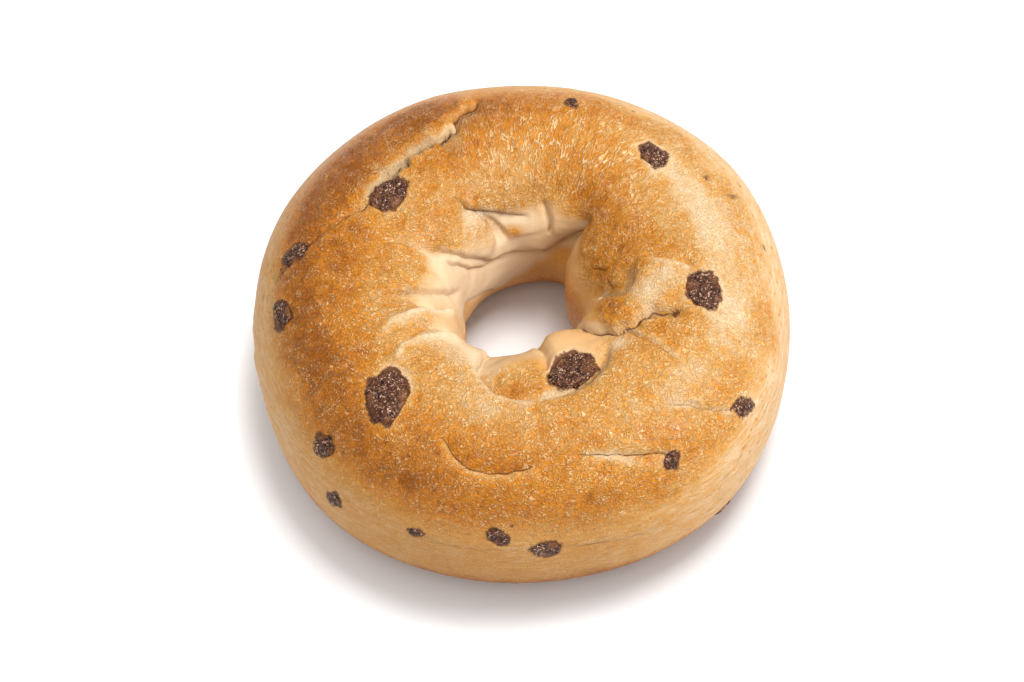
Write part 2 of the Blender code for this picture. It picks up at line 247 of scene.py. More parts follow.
FOLDS = {
    "split_top": Fold(
        ((120, 90), (116, 87), (111, 79), (106, 72), (102, 68)),
        depth=0.9, lip=0.5, drop=0.9, roll=0.5, crease_shade=0.8, pale_right=0.7, pale_left=0.7, pale_reach=2.8, torn=0.9,
        fade=0.12, ragged=0.5,
    ),
    "split_middle": Fold(
        ((113, 85), (118, 89), (126, 90), (134, 91), (142, 92), (153, 95)),
        width=0.6, depth=0.8, lip=0.4, drop=1.0, roll=0.5, crease_shade=0.8, pale_right=1.0, pale_left=0.1,
        pale_reach=3.0, torn=1.0, fade=0.12, ragged=0.5,
    ),
    "split_low": Fold(
        ((150, 95), (156, 90), (162, 83), (168, 75), (173, 67), (177, 58), (181, 46), (184, 36)),
        width=0.6, depth=0.8, lip=0.4, drop=0.8, roll=0.6, crease_shade=0.9, pale_left=0.35, pale_reach=0.8,
    ),
    "brow": Fold(
        ((128, 118), (122, 126), (118, 131), (109, 135), (98, 138.5), (88, 140.5), (82, 141)),
        width=0.6, depth=0.7, lip=0.6, drop=1.0, roll=0.7, crease_shade=0.6, pale_right=0.5, pale_reach=2.5, fade=0.34,
    ),
    "left_lobe_edge": Fold(
        ((103, 160), (108, 147), (113, 138), (119, 130)),
        width=0.8, depth=0.4, lip=0.6, drop=0.9, roll=0.4, crease_shade=0.15,
    ),
    "pad_left": Fold(
        ((110, 138), (104, 144), (99.5, 151), (97, 159)), width=0.7, depth=0.4, lip=0.5, drop=0.4, roll=0.2, crease_shade=0.1,
    ),
    "pad_right": Fold(((77, 129), (73, 136), (70, 143), (69, 152)), width=0.9, depth=0.9, lip=0.4, crease_shade=0.25),
    "undercut": Fold(
        ((74, 182), (68, 171), (63, 160), (58, 149), (53, 139), (46, 126)),
        width=1.1, depth=1.5, lip=1.0, drop=2.2, roll=1.2, crease_shade=0.5, pale_left=0.3, drop_reach=4,
    ),
    "right_lobe_edge": Fold(
        ((46, 127), (51, 138), (53, 150), (53, 168), (52, 196)),
        width=1.0, depth=1.0, lip=1.0, drop=1.4, roll=0.6, crease_shade=0.2, drop_reach=4,
    ),
    "wall_upper": Fold(
        ((163, 129), (157, 134), (150, 140), (143, 147), (132, 155), (120, 162), (106, 172), (80, 174), (66, 170)),
        width=0.8, depth=0.7, lip=0.6, drop=0.7, roll=0.4, crease_shade=0.25,
    ),
    "wall_middle": Fold(
        ((158, 141), (151, 149), (143, 155), (132, 163), (122, 169), (108, 177), (92, 181)),
        width=0.7, depth=0.6, lip=0.4, drop=0.5, roll=0.4, crease_shade=0.35,
    ),
    "wall_lower": Fold(
        ((158, 178), (148, 183), (136, 188), (124, 194), (114, 203), (104, 214)),
        width=0.9, depth=0.5, lip=0.4, drop=0.6, roll=0.3, crease_shade=0.3,
    ),
    "left_upper": Fold(
        ((163, 134), (163, 127), (164, 120), (165, 113), (169, 104)),
        width=0.7, depth=0.5, lip=0.4, drop=0.4, roll=0.2, crease_shade=0.1, pale_right=0.3,
    ),
    "left_middle": Fold(
        ((193, 99), (193, 110), (192, 122), (188, 135), (181, 146), (172, 156), (156, 165)),
        width=0.8, depth=0.8, lip=0.5, drop=0.5, roll=0.4, crease_shade=0.3, pale_right=0.35,
    ),
    "left_lower": Fold(
        ((189, 156), (198, 146), (204, 136), (205, 127), (201, 123), (196, 121)),
        width=0.7, depth=0.9, lip=0.5, drop=0.6, roll=0.6, crease_shade=0.35,
    ),
    "left_ridge": Fold(
        ((212, 92), (209, 102), (208, 114), (206, 130), (203, 144), (197, 158)),
        width=1.2, depth=-0.8, pale_left=0.5, pale_right=0.5, pale_reach=1.1,
    ),
    "front_ridge": Fold(
        ((225, 92), (221, 100), (221, 110), (224, 118), (228, 130), (230, 142)),
        width=1.2, depth=-0.7, pale_left=0.6, pale_right=0.6, pale_reach=1.2,
    ),
    "front_dip": Fold(
        ((219, 100), (216, 112), (217, 124), (222, 136)), width=1.3, depth=0.5, lip=0.2,
    ),
    "crescent": Fold(
        (
            (318, 118), (311, 109), (302, 102), (290, 98), (277, 97), (266, 99), (257, 105), (251, 114),
            (248, 127), (247, 145), (247, 172),
        ),
        width=0.8, depth=0.5, lip=0.9, drop=2.1, roll=0.7, crease_shade=0.35, pale_left=0.45, pale_right=0.3,
        drop_reach=3.8,
    ),
    "front_lobes": Fold(
        ((289, 156), (288, 144), (287, 132), (285, 122), (281, 114)), width=1.0, depth=1.2, lip=0.3, crease_shade=0.2,
    ),
    "right_lobe_upper": Fold(
        (
            (369, 116), (362, 118.5), (355, 119.5), (347, 120.5), (343, 124.5), (345, 132), (350, 142), (347, 150),
            (338, 157),
        ),
        width=0.7, depth=0.6, lip=0.9, drop=0.8, roll=0.6, crease_shade=0.5, pale_right=0.5, pale_reach=1.6, ragged=0.4,
        torn=0.5, fade=0.15,
    ),
    "right_lobe_lower": Fold(
        (
            (321, 152), (321, 143), (321, 134), (322, 126), (323.5, 120), (327, 115.5), (332, 112), (337, 108.5),
            (340, 103), (341, 97), (343, 91),
        ),
        width=0.8, depth=1.3, lip=0.9, drop=0.9, roll=0.5, crease_shade=1.0, pale_right=0.5, pale_reach=1.0, ragged=0.35,
        torn=0.35,
    ),
    "right_strip": Fold(
        ((323, 119), (326.5, 113), (326, 105), (325.5, 97), (325, 90), (323, 80)),
        width=0.6, depth=0.5, lip=0.25, roll=0.2, crease_shade=0.35, pale_left=0.3,
    ),
    "right_tick_high": Fold(((18, 144), (13, 139), (9, 135)), width=0.5, depth=0.35, lip=0.25, crease_shade=0.5),
    "right_tick_low": Fold(((363, 137), (358, 134), (354, 132)), width=0.5, depth=0.35, lip=0.25, crease_shade=0.5),
    "right_step": Fold(
        ((359, 90), (361.5, 97), (364, 105), (368, 117)),
        width=0.6, depth=0.3, lip=0.35, drop=0.35, roll=0.3, crease_shade=0.15, pale_left=0.5,
    ),
    "crown_curl": Fold(
        ((274, 63), (270, 59.5), (264, 57.2), (258, 57.8), (254, 61), (250, 67), (248, 71)),
        width=0.6, depth=0.7, lip=0.6, drop=0.5, roll=0.5, crease_shade=0.85, pale_left=0.7, pale_reach=1.1,
    ),
    "crown_tuck": Fold(
        ((283, 67), (288, 64), (294, 60), (299, 56), (303, 52), (305.5, 48), (305, 43)),
        width=0.6, depth=0.7, lip=0.5, drop=0.5, roll=0.5, crease_shade=0.8, pale_right=0.6, pale_left=0.3, pale_reach=1.6,
    ),
    "crown_tuck_ridge": Fold(
        ((286, 64.5), (292, 59), (297, 52), (300, 46), (302, 41)),
        width=0.6, depth=-0.3, pale_left=0.4, pale_right=0.4, pale_reach=0.8,
    ),
    "crown_tear": Fold(
        ((311, 71), (315, 65), (318, 58), (321, 51), (325, 43)),
        width=0.6, depth=0.6, lip=0.4, drop=0.3, roll=0.4, crease_shade=0.45, pale_right=0.5, pale_left=0.3, pale_reach=1.2,
    ),
    "side_crack_left": Fold(
        ((247, 16), (252, 13), (258, 11), (265, 11), (272, 12)),
        width=0.5, depth=0.15, lip=0.1, crease_shade=0.3,
    ),
    "side_crack_right": Fold(
        ((276, 11), (283, 10), (291, 8), (300, 8)), width=0.5, depth=0.2, lip=0.15, roll=0.2, crease_shade=0.4,
    ),
    "side_crack_right_flank": Fold(
        ((38, 46), (48, 51), (60, 56), (76, 60)), width=0.5, depth=0.2, lip=0.15, crease_shade=0.15,
    ),
    "side_crack_back": Fold(
        ((96, 20), (108, 14), (122, 12), (134, 15)), width=0.5, depth=0.25, lip=0.2, roll=0.2, crease_shade=0.35,
    ),
    "side_crack_left_low": Fold(
        ((176, 8), (188, 3), (202, 2), (214, 6)), width=0.5, depth=0.2, lip=0.15, crease_shade=0.3,
    ),
    "hole_front_left": Fold(
        ((230, 150), (240, 162), (252, 168), (266, 166)),
        width=0.9, depth=0.6, lip=0.4, drop=0.4, roll=0.3, crease_shade=0.25,
    ),
    "hole_front_right": Fold(
        ((288, 162), (300, 172), (314, 176), (330, 172)),
        width=0.9, depth=0.7, lip=0.4, drop=0.4, roll=0.3, crease_shade=0.25,
    ),
    "hole_left": Fold(
        ((176, 176), (192, 180), (210, 176), (226, 170)),
        width=0.9, depth=0.5, lip=0.3, drop=0.3, roll=0.3, crease_shade=0.2,
    ),
}

SWELLS = (
    Swell(140, 120, 9, 5, 20, 0.7),
    Swell(87, 150, 4.5, 3, 0, 0.7),
    Swell(66, 140, 6, 4, 40, 0.9),
    Swell(336, 126, 5, 3.6, 20, 1.2),
    Swell(303, 140, 7, 4, 0, 1.8),
    Swell(268, 122, 7, 4, 0, 1.1),
    Swell(233, 116, 9, 7, 0, 0.9),
    Swell(18, 125, 9, 6, 0, 0.5),
    Swell(304, 45, 1.3, 1.0, 50, -0.7),
    Swell(104, 155, 2.2, 1.4, 60, -0.5),
    Swell(203, 128, 2.0, 1.5, 90, -0.7),
    Swell(341, 95, 1.6, 1.0, 90, -0.8),
)

# Where the crust browns more, or less below zero. Some ovals also paint light: the pale ones on the right of the
# crown partly stand for a painted highlight, and the dark ones on the left and back-left shoulder partly for painted
# shade.
BROWNING_AND_PAINTED_LIGHT_PATCHES = tuple(Patch(*numbers) for numbers in (
    (136, 63, 28, 18, 0.46), (120, 72, 8, 7, 0.15), (103, 78, 12, 14, 0.38), (80, 72, 16, 11, 0.15),
    (60, 68, 10, 8, 0.08), (172, 96, 14, 12, 0.22), (195, 67, 38, 13, 0.20), (225, 54, 26, 12, 0.08),
    (240, 40, 32, 12, 0.18), (263, 63.5, 8, 4.5, 0.18), (290, 40, 20, 8, 0.14), (262, 90, 16, 9, -0.10),
    (232, 105, 7, 8, 0.10), (235, 66, 4.5, 4, -0.30), (268, 106, 8, 4, 0.35), (334, 124, 8, 7, 0.45),
    (13, 138, 12, 6, 0.24), (50, 122, 20, 9, 0.20), (12, 122, 12, 8, 0.12), (60, 116, 10, 8, 0.12),
    (93, 151, 5, 4, 0.45), (120, 146, 9, 4, 0.08), (126, 140, 20, 9, -0.30), (104, 140, 12, 8, -0.20),
    (304, 52, 5, 4, 0.15), (5, 58, 12, 8, -0.15), (15, 78, 18, 12, -0.38), (38, 82, 16, 12, -0.26),
    (60, 78, 6, 8, -0.20), (25, 100, 14, 8, -0.20), (345, 68, 12, 14, -0.33), (346, 112, 10, 12, -0.12),
    (322, 72, 10, 14, -0.22), (300, 76, 18, 11, -0.18), (357, 103, 7, 9, -0.26), (346, 110, 7, 8, -0.25),
    (88, 116, 20, 12, -0.14), (118, 98, 18, 10, 0.34), (182, 88, 24, 9, 0.30), (232, 32, 22, 10, 0.10),
    (276, 120, 10, 7, 0.22), (24, 120, 16, 9, 0.14), (172, 124, 22, 8, -0.08), (283, 102, 9, 3.5, -0.35),
    (318, 110, 5, 4, -0.30), (114, 83, 6, 5, -0.30), (140, 87, 18, 3.5, -0.35), (232, 118, 26, 14, -0.14),
    (345, 124, 5, 4, -0.15),
))

STAINS = tuple(Patch(*numbers) for numbers in (
    (178, 51, 4, 6, 0.45), (176, 43, 4, 4, 0.30), (231, 67, 4, 4, 0.42), (193, 46, 3, 4, 0.30),
    (31, 65, 1.5, 2.2, 0.55), (24, 56, 1.2, 5, 0.45), (10, 45, 1.2, 2.2, 0.60), (19, 46, 1.2, 1.2, 0.40),
    (60, 58, 0.6, 0.9, 0.80), (268, 30, 0.7, 0.9, 0.70), (259, 23, 0.9, 1.3, 0.40), (257, 26, 2.0, 2.5, 0.20),
    (340, 95, 2.5, 2.5, 0.70), (304, 46, 1.6, 2.6, 0.55), (302, 36, 0.7, 2.5, 0.40), (346, 124, 3, 3, 0.35),
    (161, 44, 1.5, 1.2, 0.55), (146, 54, 1.5, 1.0, 0.45), (275, 22, 2.2, 1.0, 0.20), (173, 37, 1.5, 1.0, 0.50),
    (206, 22, 2.2, 0.8, 0.20), (351, 37, 1.0, 1.2, 0.25), (130, 88, 5, 1.6, 0.35), (72, 25, 1.5, 1.5, 0.40),
    (140, 20, 1.6, 1.2, 0.40), (345, 20, 1.2, 1.2, 0.30),
))

# The raisins of the top and the front, then those of the far side and the lower side
SEATS = (
    Seat(147, 97, 9.4, 5.7, -13, 0.45, 0.4),
    Seat(174, 59, 5.6, 4.3, -72, 0.3, 0.9),
    Seat(190, 50, 6.1, 4.6, 0, 0.3, 0.6),
    Seat(229, 76, 10.2, 8.3, -56, 0.75, 0.8),
    Seat(223, 34, 5.3, 4.2, 51, 0.3, 0.5),
    Seat(229, 7, 4.8, 3.0, 69, 0.0, 0.7),
    Seat(248, 16, 2.8, 2.2, 0, 0.0, 0.5),
    Seat(265, 22, 4.8, 3.3, -37, 0.1, 0.5),
    Seat(275, 10, 5.8, 4.4, -26, 0.1, 0.5),
    Seat(294, 113, 10.2, 7.8, 33, 0.25, 0.6),
    Seat(351, 84, 8.8, 6.7, 8, 0.35, 0.5),
    Seat(45, 80, 6.3, 5.0, -11, 0.6, 0.4),
    Seat(76, 69, 3.1, 2.6, 80, 0.3, 0.4),
    Seat(327, 40, 5.2, 3.5, -48, 0.5, 0.5),
    Seat(305, 45, 3.6, 2.6, 48, 0.5, 0.6),
    Seat(118, 22, 6.4, 4.6, 20),
    Seat(82, 350, 5.6, 4.0, 70),
    Seat(44, 14, 7.4, 5.2, -15),
    Seat(155, 344, 5.0, 3.6, 10),
    Seat(6, 338, 6.0, 4.4, 45),
    Seat(206, 320, 5.6, 4.0),
    Seat(318, 330, 4.6, 3.8, 30),
)


@dataclass(frozen=True)
class Ring:
    """The plain ring of dough, before it is folded."""

    across: float = 110 * MM
    hole_across: float = 26 * MM
    height: float = 42 * MM
    middle_share: float = 0.48
    pressed_flat: float = 1.2 * MM
    crown_bluntness: float = 2.2
    base_bluntness: float = 2.7
    crown_to_base: float = 3
    squareness: float = 0.75 * MM
    corners: int = 4
    hole_shift: float = -1.2 * MM
    small_step: float = 0.05
    curve_steps: int = 8

    @property
    def radius(self) -> float:
        """Give the radius of the middle of the dough."""
        return (self.across + self.hole_across) / 4

    @property
    def half_width(self) -> float:
        """Give half the width of the dough."""
        return (self.across - self.hole_across) / 4

    def total_of(self, bulges: tuple, ring: np.ndarray) -> np.ndarray:
        """Add up bulges.

        Args:
            bulges: The bulges of one wall.
            ring: Ring angles.

        Returns:
            How far the wall stands out at each angle, in metres.
        """
        total = np.zeros_like(ring)
        for bulge in bulges:
            total = total + bulge.amount * MM * bell(turned_by(ring, bulge.ring), bulge.spread)
        return total

    def plain(self, ring: np.ndarray, section: np.ndarray) -> np.ndarray:
        """Place points on the plain ring.

        Args:
            ring: Ring angles.
            section: Section angles.

        Returns:
            Points in metres, one in each row.
        """
        turned, tilted = np.radians(ring), np.radians(section)
        out, up = np.cos(tilted), np.sin(tilted)
        middle = self.middle_share * self.height
        crown_share = 0.5 + 0.5 * np.tanh(self.crown_to_base * up)
        blunt = self.base_bluntness + (self.crown_bluntness - self.base_bluntness) * crown_share
        half_height = np.where(up >= 0, self.height - middle, middle + self.pressed_flat)
        side = self.half_width + self.total_of(SIDE_BULGES, ring) - self.squareness * np.cos(self.corners * turned)
        half_width = np.where(out >= 0, side, self.half_width - self.total_of(HOLE_BULGES, ring))
        reach = (np.abs(out / half_width) ** blunt + np.abs(up / half_height) ** blunt) ** (-1 / blunt)
        radius = self.radius + reach * out
        x = radius * np.cos(turned) + self.hole_shift * (0.5 - 0.5 * out) ** 2
        return np.stack([x, radius * np.sin(turned), np.maximum(middle + reach * up, 0)], axis=-1)

    def outward(self, ring: np.ndarray, section: np.ndarray) -> np.ndarray:
        """Work out unit normals of the plain ring.

        Args:
            ring: Ring angles.
            section: Section angles.

        Returns:
            Unit vectors, one in each row.
        """
        step = self.small_step
        along_ring = self.plain(ring + step, section) - self.plain(ring - step, section)
        along_section = self.plain(ring, section + step) - self.plain(ring, section - step)
        normal = np.cross(along_ring, along_section)
        return normal / np.linalg.norm(normal, axis=-1, keepdims=True)

    def point(self, ring: float, section: float) -> np.ndarray:
        """Give one point of the plain ring, in metres."""
        return self.plain(np.array([ring]), np.array([section]))[0]

    def axes_at(self, ring: float, section: float, turn: float) -> tuple:
        """Find the directions of something that lies on the ring.

        Args:
            ring: Ring angle.
            section: Section angle.
            turn: How far its length is turned from the ring's own direction, in degrees.

        Returns:
            Unit vectors along it, across it and out of the dough.
        """
        ring_angle, section_angle = np.array([float(ring)]), np.array([float(section)])
        normal = self.outward(ring_angle, section_angle)[0]
        ahead = self.plain(ring_angle + self.small_step, section_angle)[0]
        round_ring = ahead - self.plain(ring_angle - self.small_step, section_angle)[0]
        round_ring /= np.linalg.norm(round_ring)
        angle = math.radians(turn)
        along = round_ring * math.cos(angle) + np.cross(normal, round_ring) * math.sin(angle)
        return along, np.cross(normal, along), normal

    def curve_through(self, knots: tuple) -> np.ndarray:
        """Draw a smooth line on the plain ring, as a Catmull-Rom spline.

        Args:
            knots: Ring and section angles that the line goes through.

        Returns:
            Points of the line in metres.
        """
        ends = np.array([knots[0], *knots, knots[-1]], float)
        points = []
        for before, start, end, after in zip(ends, ends[1:], ends[2:], ends[3:]):
            slope = 0.5 * (end - before)
            bend = before - 2.5 * start + 2 * end - 0.5 * after
            twist = 0.5 * (after - before) + 1.5 * (start - end)
            for t in np.linspace(0, 1, self.curve_steps, endpoint=False):
                points.append(start + slope * t + bend * t**2 + twist * t**3)
        points.append(ends[-1])
        return self.plain(*np.array(points).T)


RING = Ring()


@dataclass(frozen=True)
class Pressing:
    """How every fold is pressed and baked, beyond its own sizes."""

    side_softness: float = 0.7
    furthest: float = 11 * MM
    crease_reach: float = 1.2 * MM
    edge_place: float = 0.6 * MM
    edge_width: float = 0.42 * MM
    # The painted highlight along a crease's lip: how pale it is, and how it grows with the crease's painted shade
    edge_highlight: float = 0.3
    edge_highlight_per_shade: float = 2
    roll_reach: float = 1.6 * MM
    raggedness: Grain = Grain(3.4, waves=40, seed=51)
    paleness: Grain = Grain(3.2, seed=41)
    pale_unevenness: float = 0.28


@dataclass(frozen=True)
class Pocket:
    """How the crust meets every raisin. Places are beyond the raisin's outline, and inside it below zero."""

    beside_from: float = 0.3 * MM
    beside_to: float = 1.5 * MM
    levelled: float = 0.95
    level_fade: tuple = (0.9 * MM, -1.4 * MM)
    depth: float = 1.1 * MM
    wall: tuple = (-0.15 * MM, -0.8 * MM)
    rim: float = 0.14
    rim_unevenness: float = 0.16
    rim_place: float = 0.15 * MM
    rim_width: float = 0.5 * MM
    grain_size: float = 2.2
    first_seed: int = 500
    ragged: float = 0.35 * MM
    halo: float = 0.75
    halo_reach: float = 1.5 * MM
    # The dark ring at each raisin's edge, partly real stain and partly painted shade
    least_rim_stain_and_shade: float = 0.45
    more_rim_stain_and_shade: float = 0.55
    rim_stain_and_shade_reach: float = 0.4 * MM


@dataclass(frozen=True)
class Wrinkles:
    """The grains of the skin's wrinkles, how high each stands in millimetres, and where the rays are."""

    coarse: Grain = Grain(5.2, seed=2)
    fine: Grain = Grain(2.6, seed=3)
    finest: Grain = Grain(1.5, seed=4)
    rays: Grain = Grain(2.4, waves=40, seed=5, stretch=(1, 1, 5))
    streaks: Grain = Grain(1.6, waves=40, seed=6, stretch=(6, 6, 1))
    torn: Grain = Grain(1.7, waves=40, seed=7)
    bends: tuple = (Grain(4, seed=11), Grain(4, seed=12), Grain(4, seed=13))
    bend: float = 0.8
    ridge_level: float = 0.7
    coarse_height: float = 0.17
    fine_height: float = 0.14
    finest_height: float = 0.04
    ray_height: float = 0.10
    streak_height: float = 0.035
    torn_height: float = 0.20
    on_browned: float = 0.5
    on_crusted: float = 0.4
    raised_rays: Patch = Patch(88, 108, 36, 24)
    rayed: Patch = Patch(75, 98, 50, 34)


@dataclass
class Skin:
    """The surface of the dough while it is worked: its plain points, how they move, and how they are baked."""

    ring: np.ndarray
    section: np.ndarray
    pressing: Pressing = Pressing()
    pocket: Pocket = Pocket()
    wrinkles: Wrinkles = Wrinkles()
    relief_starts: float = 6 * MM

    def __post_init__(self) -> None:
        """Lay out the plain surface, with nothing on it yet."""
        self.plain = RING.plain(self.ring, self.section)
        self.normals = RING.outward(self.ring, self.section)
        self.places = self.plain * MM_IN_METRE
        self.slide = np.zeros_like(self.plain)
        self.crease_side = np.full(len(self.plain), self.pressing.crease_reach)
        # The second of these holds painted shade along the creases, and the fourth the stain at the raisins' edges,
        # which is partly painted shade
        self.height, self.crease_shade, self.pale, self.stain, self.torn = np.zeros((5, len(self.plain)))
        self.crusted, self.rayed, self.wrinkled = np.zeros((3, len(self.plain)))

    def mound(self, middle: np.ndarray, axes: tuple, half_length: float, half_width: float) -> np.ndarray:
        """Shape a smooth oval mound of height 1.

        Args:
            middle: Its middle on the surface.
            axes: Its directions, as Ring.axes_at gives them.
            half_length: Half its length in metres.
            half_width: Half its width in metres.

        Returns:
            The mound's height at each point.
        """
        along, across, normal = ((self.plain - middle) @ axis for axis in axes)
        return np.exp(-((along / half_length) ** 2) - (across / half_width) ** 2 - (normal / half_width) ** 2)

    def add_lumps(self) -> None:
        """Make the ring slowly uneven."""
        for lump in LUMPS:
            ring_wave = np.sin(np.radians(lump.ring_waves * self.ring) + lump.phase)
            section_wave = np.cos(np.radians(lump.section_waves * self.section) + lump.phase)
            self.height += lump.height * MM * ring_wave * section_wave

    def add_swells(self) -> None:
        """Raise the lobes and press the hollows."""
        for swell in SWELLS:
            middle = RING.point(swell.ring, swell.section)
            axes = RING.axes_at(swell.ring, swell.section, swell.turn)
            mound = self.mound(middle, axes, swell.half_length * MM, swell.half_width * MM)
            self.height += swell.height * MM * mound

    def across_line(self, line: np.ndarray, chosen: np.ndarray) -> tuple:
        """Measure points against a line on the surface.

        Args:
            line: Points of the line.
            chosen: Which points are measured, as their numbers.

        Returns:
            Distances from the line, above zero on its left, the share of the line that each point lies beside,
            and unit vectors towards the left of the line.
        """
        points, normals = self.plain[chosen], self.normals[chosen]
        nearest = np.full(len(points), np.inf)
        side, share = np.zeros(len(points)), np.zeros(len(points))
        leftward = np.zeros_like(points)
        for i, (start, end) in enumerate(zip(line, line[1:])):
            along = end - start
            length = float(along @ along)
            if length == 0:
                continue
            t = np.clip((points - start) @ along / length, 0, 1)
            away = points - start - t[:, None] * along
            distance = np.linalg.norm(away, axis=1)
            closer = distance < nearest
            nearest[closer] = distance[closer]
            left = np.cross(normals[closer], along)
            left /= np.linalg.norm(left, axis=1, keepdims=True)
            leftward[closer] = left
            side[closer] = np.sign((away[closer] * left).sum(axis=1))
            share[closer] = (i + t[closer]) / (len(line) - 1)
        return nearest * side, share, leftward

    def add_fold(self, fold: Fold) -> None:
        """Press a fold in the dough, roll its lip over it, and bake it.

        Args:
            fold: The fold.
        """
        pressing = self.pressing
        line = RING.curve_through(fold.line)
        low, high = line.min(axis=0) - pressing.furthest, line.max(axis=0) + pressing.furthest
        chosen = np.where(((self.plain > low) & (self.plain < high)).all(axis=1))[0]
        places = self.places[chosen]
        far, share, leftward = self.across_line(line, chosen)
        far = far + fold.ragged * MM * pressing.raggedness.at(places)
        ends = rise(share, 0, fold.fade) * rise(share, 1, -fold.fade)

        left = 0.5 + 0.5 * np.tanh(far / (fold.width * MM) / pressing.side_softness)
        groove = -fold.depth * bell(far, fold.width * MM)
        beside = np.maximum(far, 0)
        lip = beside / (fold.lip_reach * MM)
        swollen = fold.lip * lip * np.exp(1 - lip)
        sunk = -fold.drop * bell(far, fold.drop_reach * MM)
        edge = bell(far - pressing.edge_place, pressing.edge_width)
        self.height[chosen] += ends * (groove + left * swollen + (1 - left) * sunk + fold.crisp * edge) * MM
        rolled = fold.roll * MM * ends * left * bell(beside, pressing.roll_reach)
        self.slide[chosen] -= rolled[:, None] * leftward

        # Painted shade along the crease line, strongest at the line itself
        if fold.crease_shade:
            picked = np.abs(far) < np.abs(self.crease_side[chosen])
            closeness = np.clip(1 - np.abs(far) / pressing.crease_reach, 0, 1)
            self.crease_side[chosen[picked]] = far[picked]
            self.crease_shade[chosen[picked]] = (fold.crease_shade * np.sqrt(ends) * closeness)[picked]
        reach = fold.pale_reach * MM * (1 + pressing.pale_unevenness * pressing.paleness.at(places))
        near = bell(far, reach)
        pale = fold.pale_left * left * near + fold.pale_right * (1 - left) * near
        # A painted highlight along the lip of a shaded crease, made by keeping the crust there pale
        pale += pressing.edge_highlight * edge * min(1.0, fold.crease_shade * pressing.edge_highlight_per_shade)
        self.pale[chosen] += pale * ends
        self.torn[chosen] += fold.torn * (1 - left) * near * ends

    def add_seat(self, seat: Seat, seed: int) -> None:
        """Sink a seat for a raisin, with a slight rim, an unbrowned halo, and a dark edge of stain and painted shade.

        Args:
            seat: Where the raisin lies.
            seed: Which of the uneven outlines it has.
        """
        pocket = self.pocket
        middle = RING.point(seat.ring, seat.section)
        axes = RING.axes_at(seat.ring, seat.section, seat.turn)
        chosen = np.where(np.linalg.norm(self.plain - middle, axis=1) < (seat.length * MM))[0]
        along, across, _ = ((self.plain[chosen] - middle) @ axis for axis in axes)
        heading = np.arctan2(across / seat.width, along / seat.length)
        share = np.hypot(along / (seat.length * MM / 2), across / (seat.width * MM / 2)) / outline(heading, seed)
        beyond = (share - 1) * (seat.length + seat.width) * MM / 4

        beside = (beyond > pocket.beside_from) & (beyond < pocket.beside_to)
        level = float(self.height[chosen][beside].mean())
        levelled = pocket.levelled * rise(beyond, *pocket.level_fade)
        self.height[chosen] += levelled * (level - self.height[chosen])
        self.slide[chosen] *= (1 - levelled)[:, None]
        self.crease_shade[chosen] *= 1 - levelled

        ragged = Grain(pocket.grain_size, seed=pocket.first_seed + seed).at(self.places[chosen])
        rim = (pocket.rim + pocket.rim_unevenness * ragged) * MM
        self.height[chosen] -= pocket.depth * rise(beyond, *pocket.wall)
        self.height[chosen] += rim * bell(beyond - pocket.rim_place, pocket.rim_width)

        outside = np.maximum(beyond + pocket.ragged * ragged, 0)
        self.pale[chosen] += pocket.halo * seat.halo * bell(outside, pocket.halo_reach)
        # The dark ring at the raisin's edge: partly real stain, partly painted shade
        stain = (pocket.least_rim_stain_and_shade + pocket.more_rim_stain_and_shade * seat.stain) * bell(outside, pocket.rim_stain_and_shade_reach)
        self.stain[chosen] = np.maximum(self.stain[chosen], stain)

    def add_wrinkles(self, browned: np.ndarray, developed: np.ndarray) -> None:
        """Wrinkle the skin: most on the browned crown, in rays at the back, and in faint streaks on the sides.

        Args:
            browned: How browned each point is.
            developed: The surface laid flat, in millimetres.
        """
        kinds = self.wrinkles
        bent = self.places + kinds.bend * np.stack([grain.at(self.places) for grain in kinds.bends], axis=-1)
        coarse = kinds.ridge_level - np.abs(kinds.coarse.at(bent))
        fine = kinds.ridge_level - np.abs(kinds.fine.at(bent))
        relief = kinds.coarse_height * coarse + kinds.fine_height * fine + kinds.finest_height * kinds.finest.at(bent)
        rays = kinds.raised_rays.at(self.ring, self.section) * kinds.rays.at(developed)
        streaks = (1 - browned) * kinds.streaks.at(developed)
        self.height += kinds.torn_height * MM * self.torn * kinds.torn.at(self.places)
        self.height += MM * (kinds.on_browned * browned + kinds.on_crusted * self.crusted) * relief
        self.height += MM * (kinds.ray_height * rays + kinds.streak_height * streaks)
        self.wrinkled = (coarse + fine) / 2
        self.rayed = kinds.rayed.at(self.ring, self.section)

    def points(self) -> np.ndarray:
        """Give the finished points in metres, standing on z = 0."""
        share = rise(self.plain[:, 2], 0, self.relief_starts)
        moved = self.plain + (self.height * share)[:, None] * self.normals + self.slide * share[:, None]
        moved[:, 2] = np.maximum(moved[:, 2], 0)
        return moved


RAISIN_OUTLINE = ((2, 0.06), (3, 0.055), (4, 0.035), (5, 0.022), (7, 0.014), (11, 0.010))
OUTLINE_SEED = 100


def outline(heading: np.ndarray, seed: int) -> np.ndarray:
    """Make a raisin's uneven outline.

    Args:
        heading: Directions round the raisin, in radians.
        seed: Which outline.

    Returns:
        How far out the outline lies, about 1.
    """
    chance = np.random.default_rng(OUTLINE_SEED + seed)
    total = np.ones_like(heading)
    for waves, amount in RAISIN_OUTLINE:
        total += amount * np.sin(waves * heading + chance.uniform(0, 2 * math.pi))
    return total


@dataclass(frozen=True)
class Texture:
    """Noise: the size of its features in millimetres, its finer layers, how far it is bent, and its stretch."""

    wavelength: float
    detail: float = 2
    roughness: float = 0.5
    bend: float = 0
    stretch: tuple | None = None


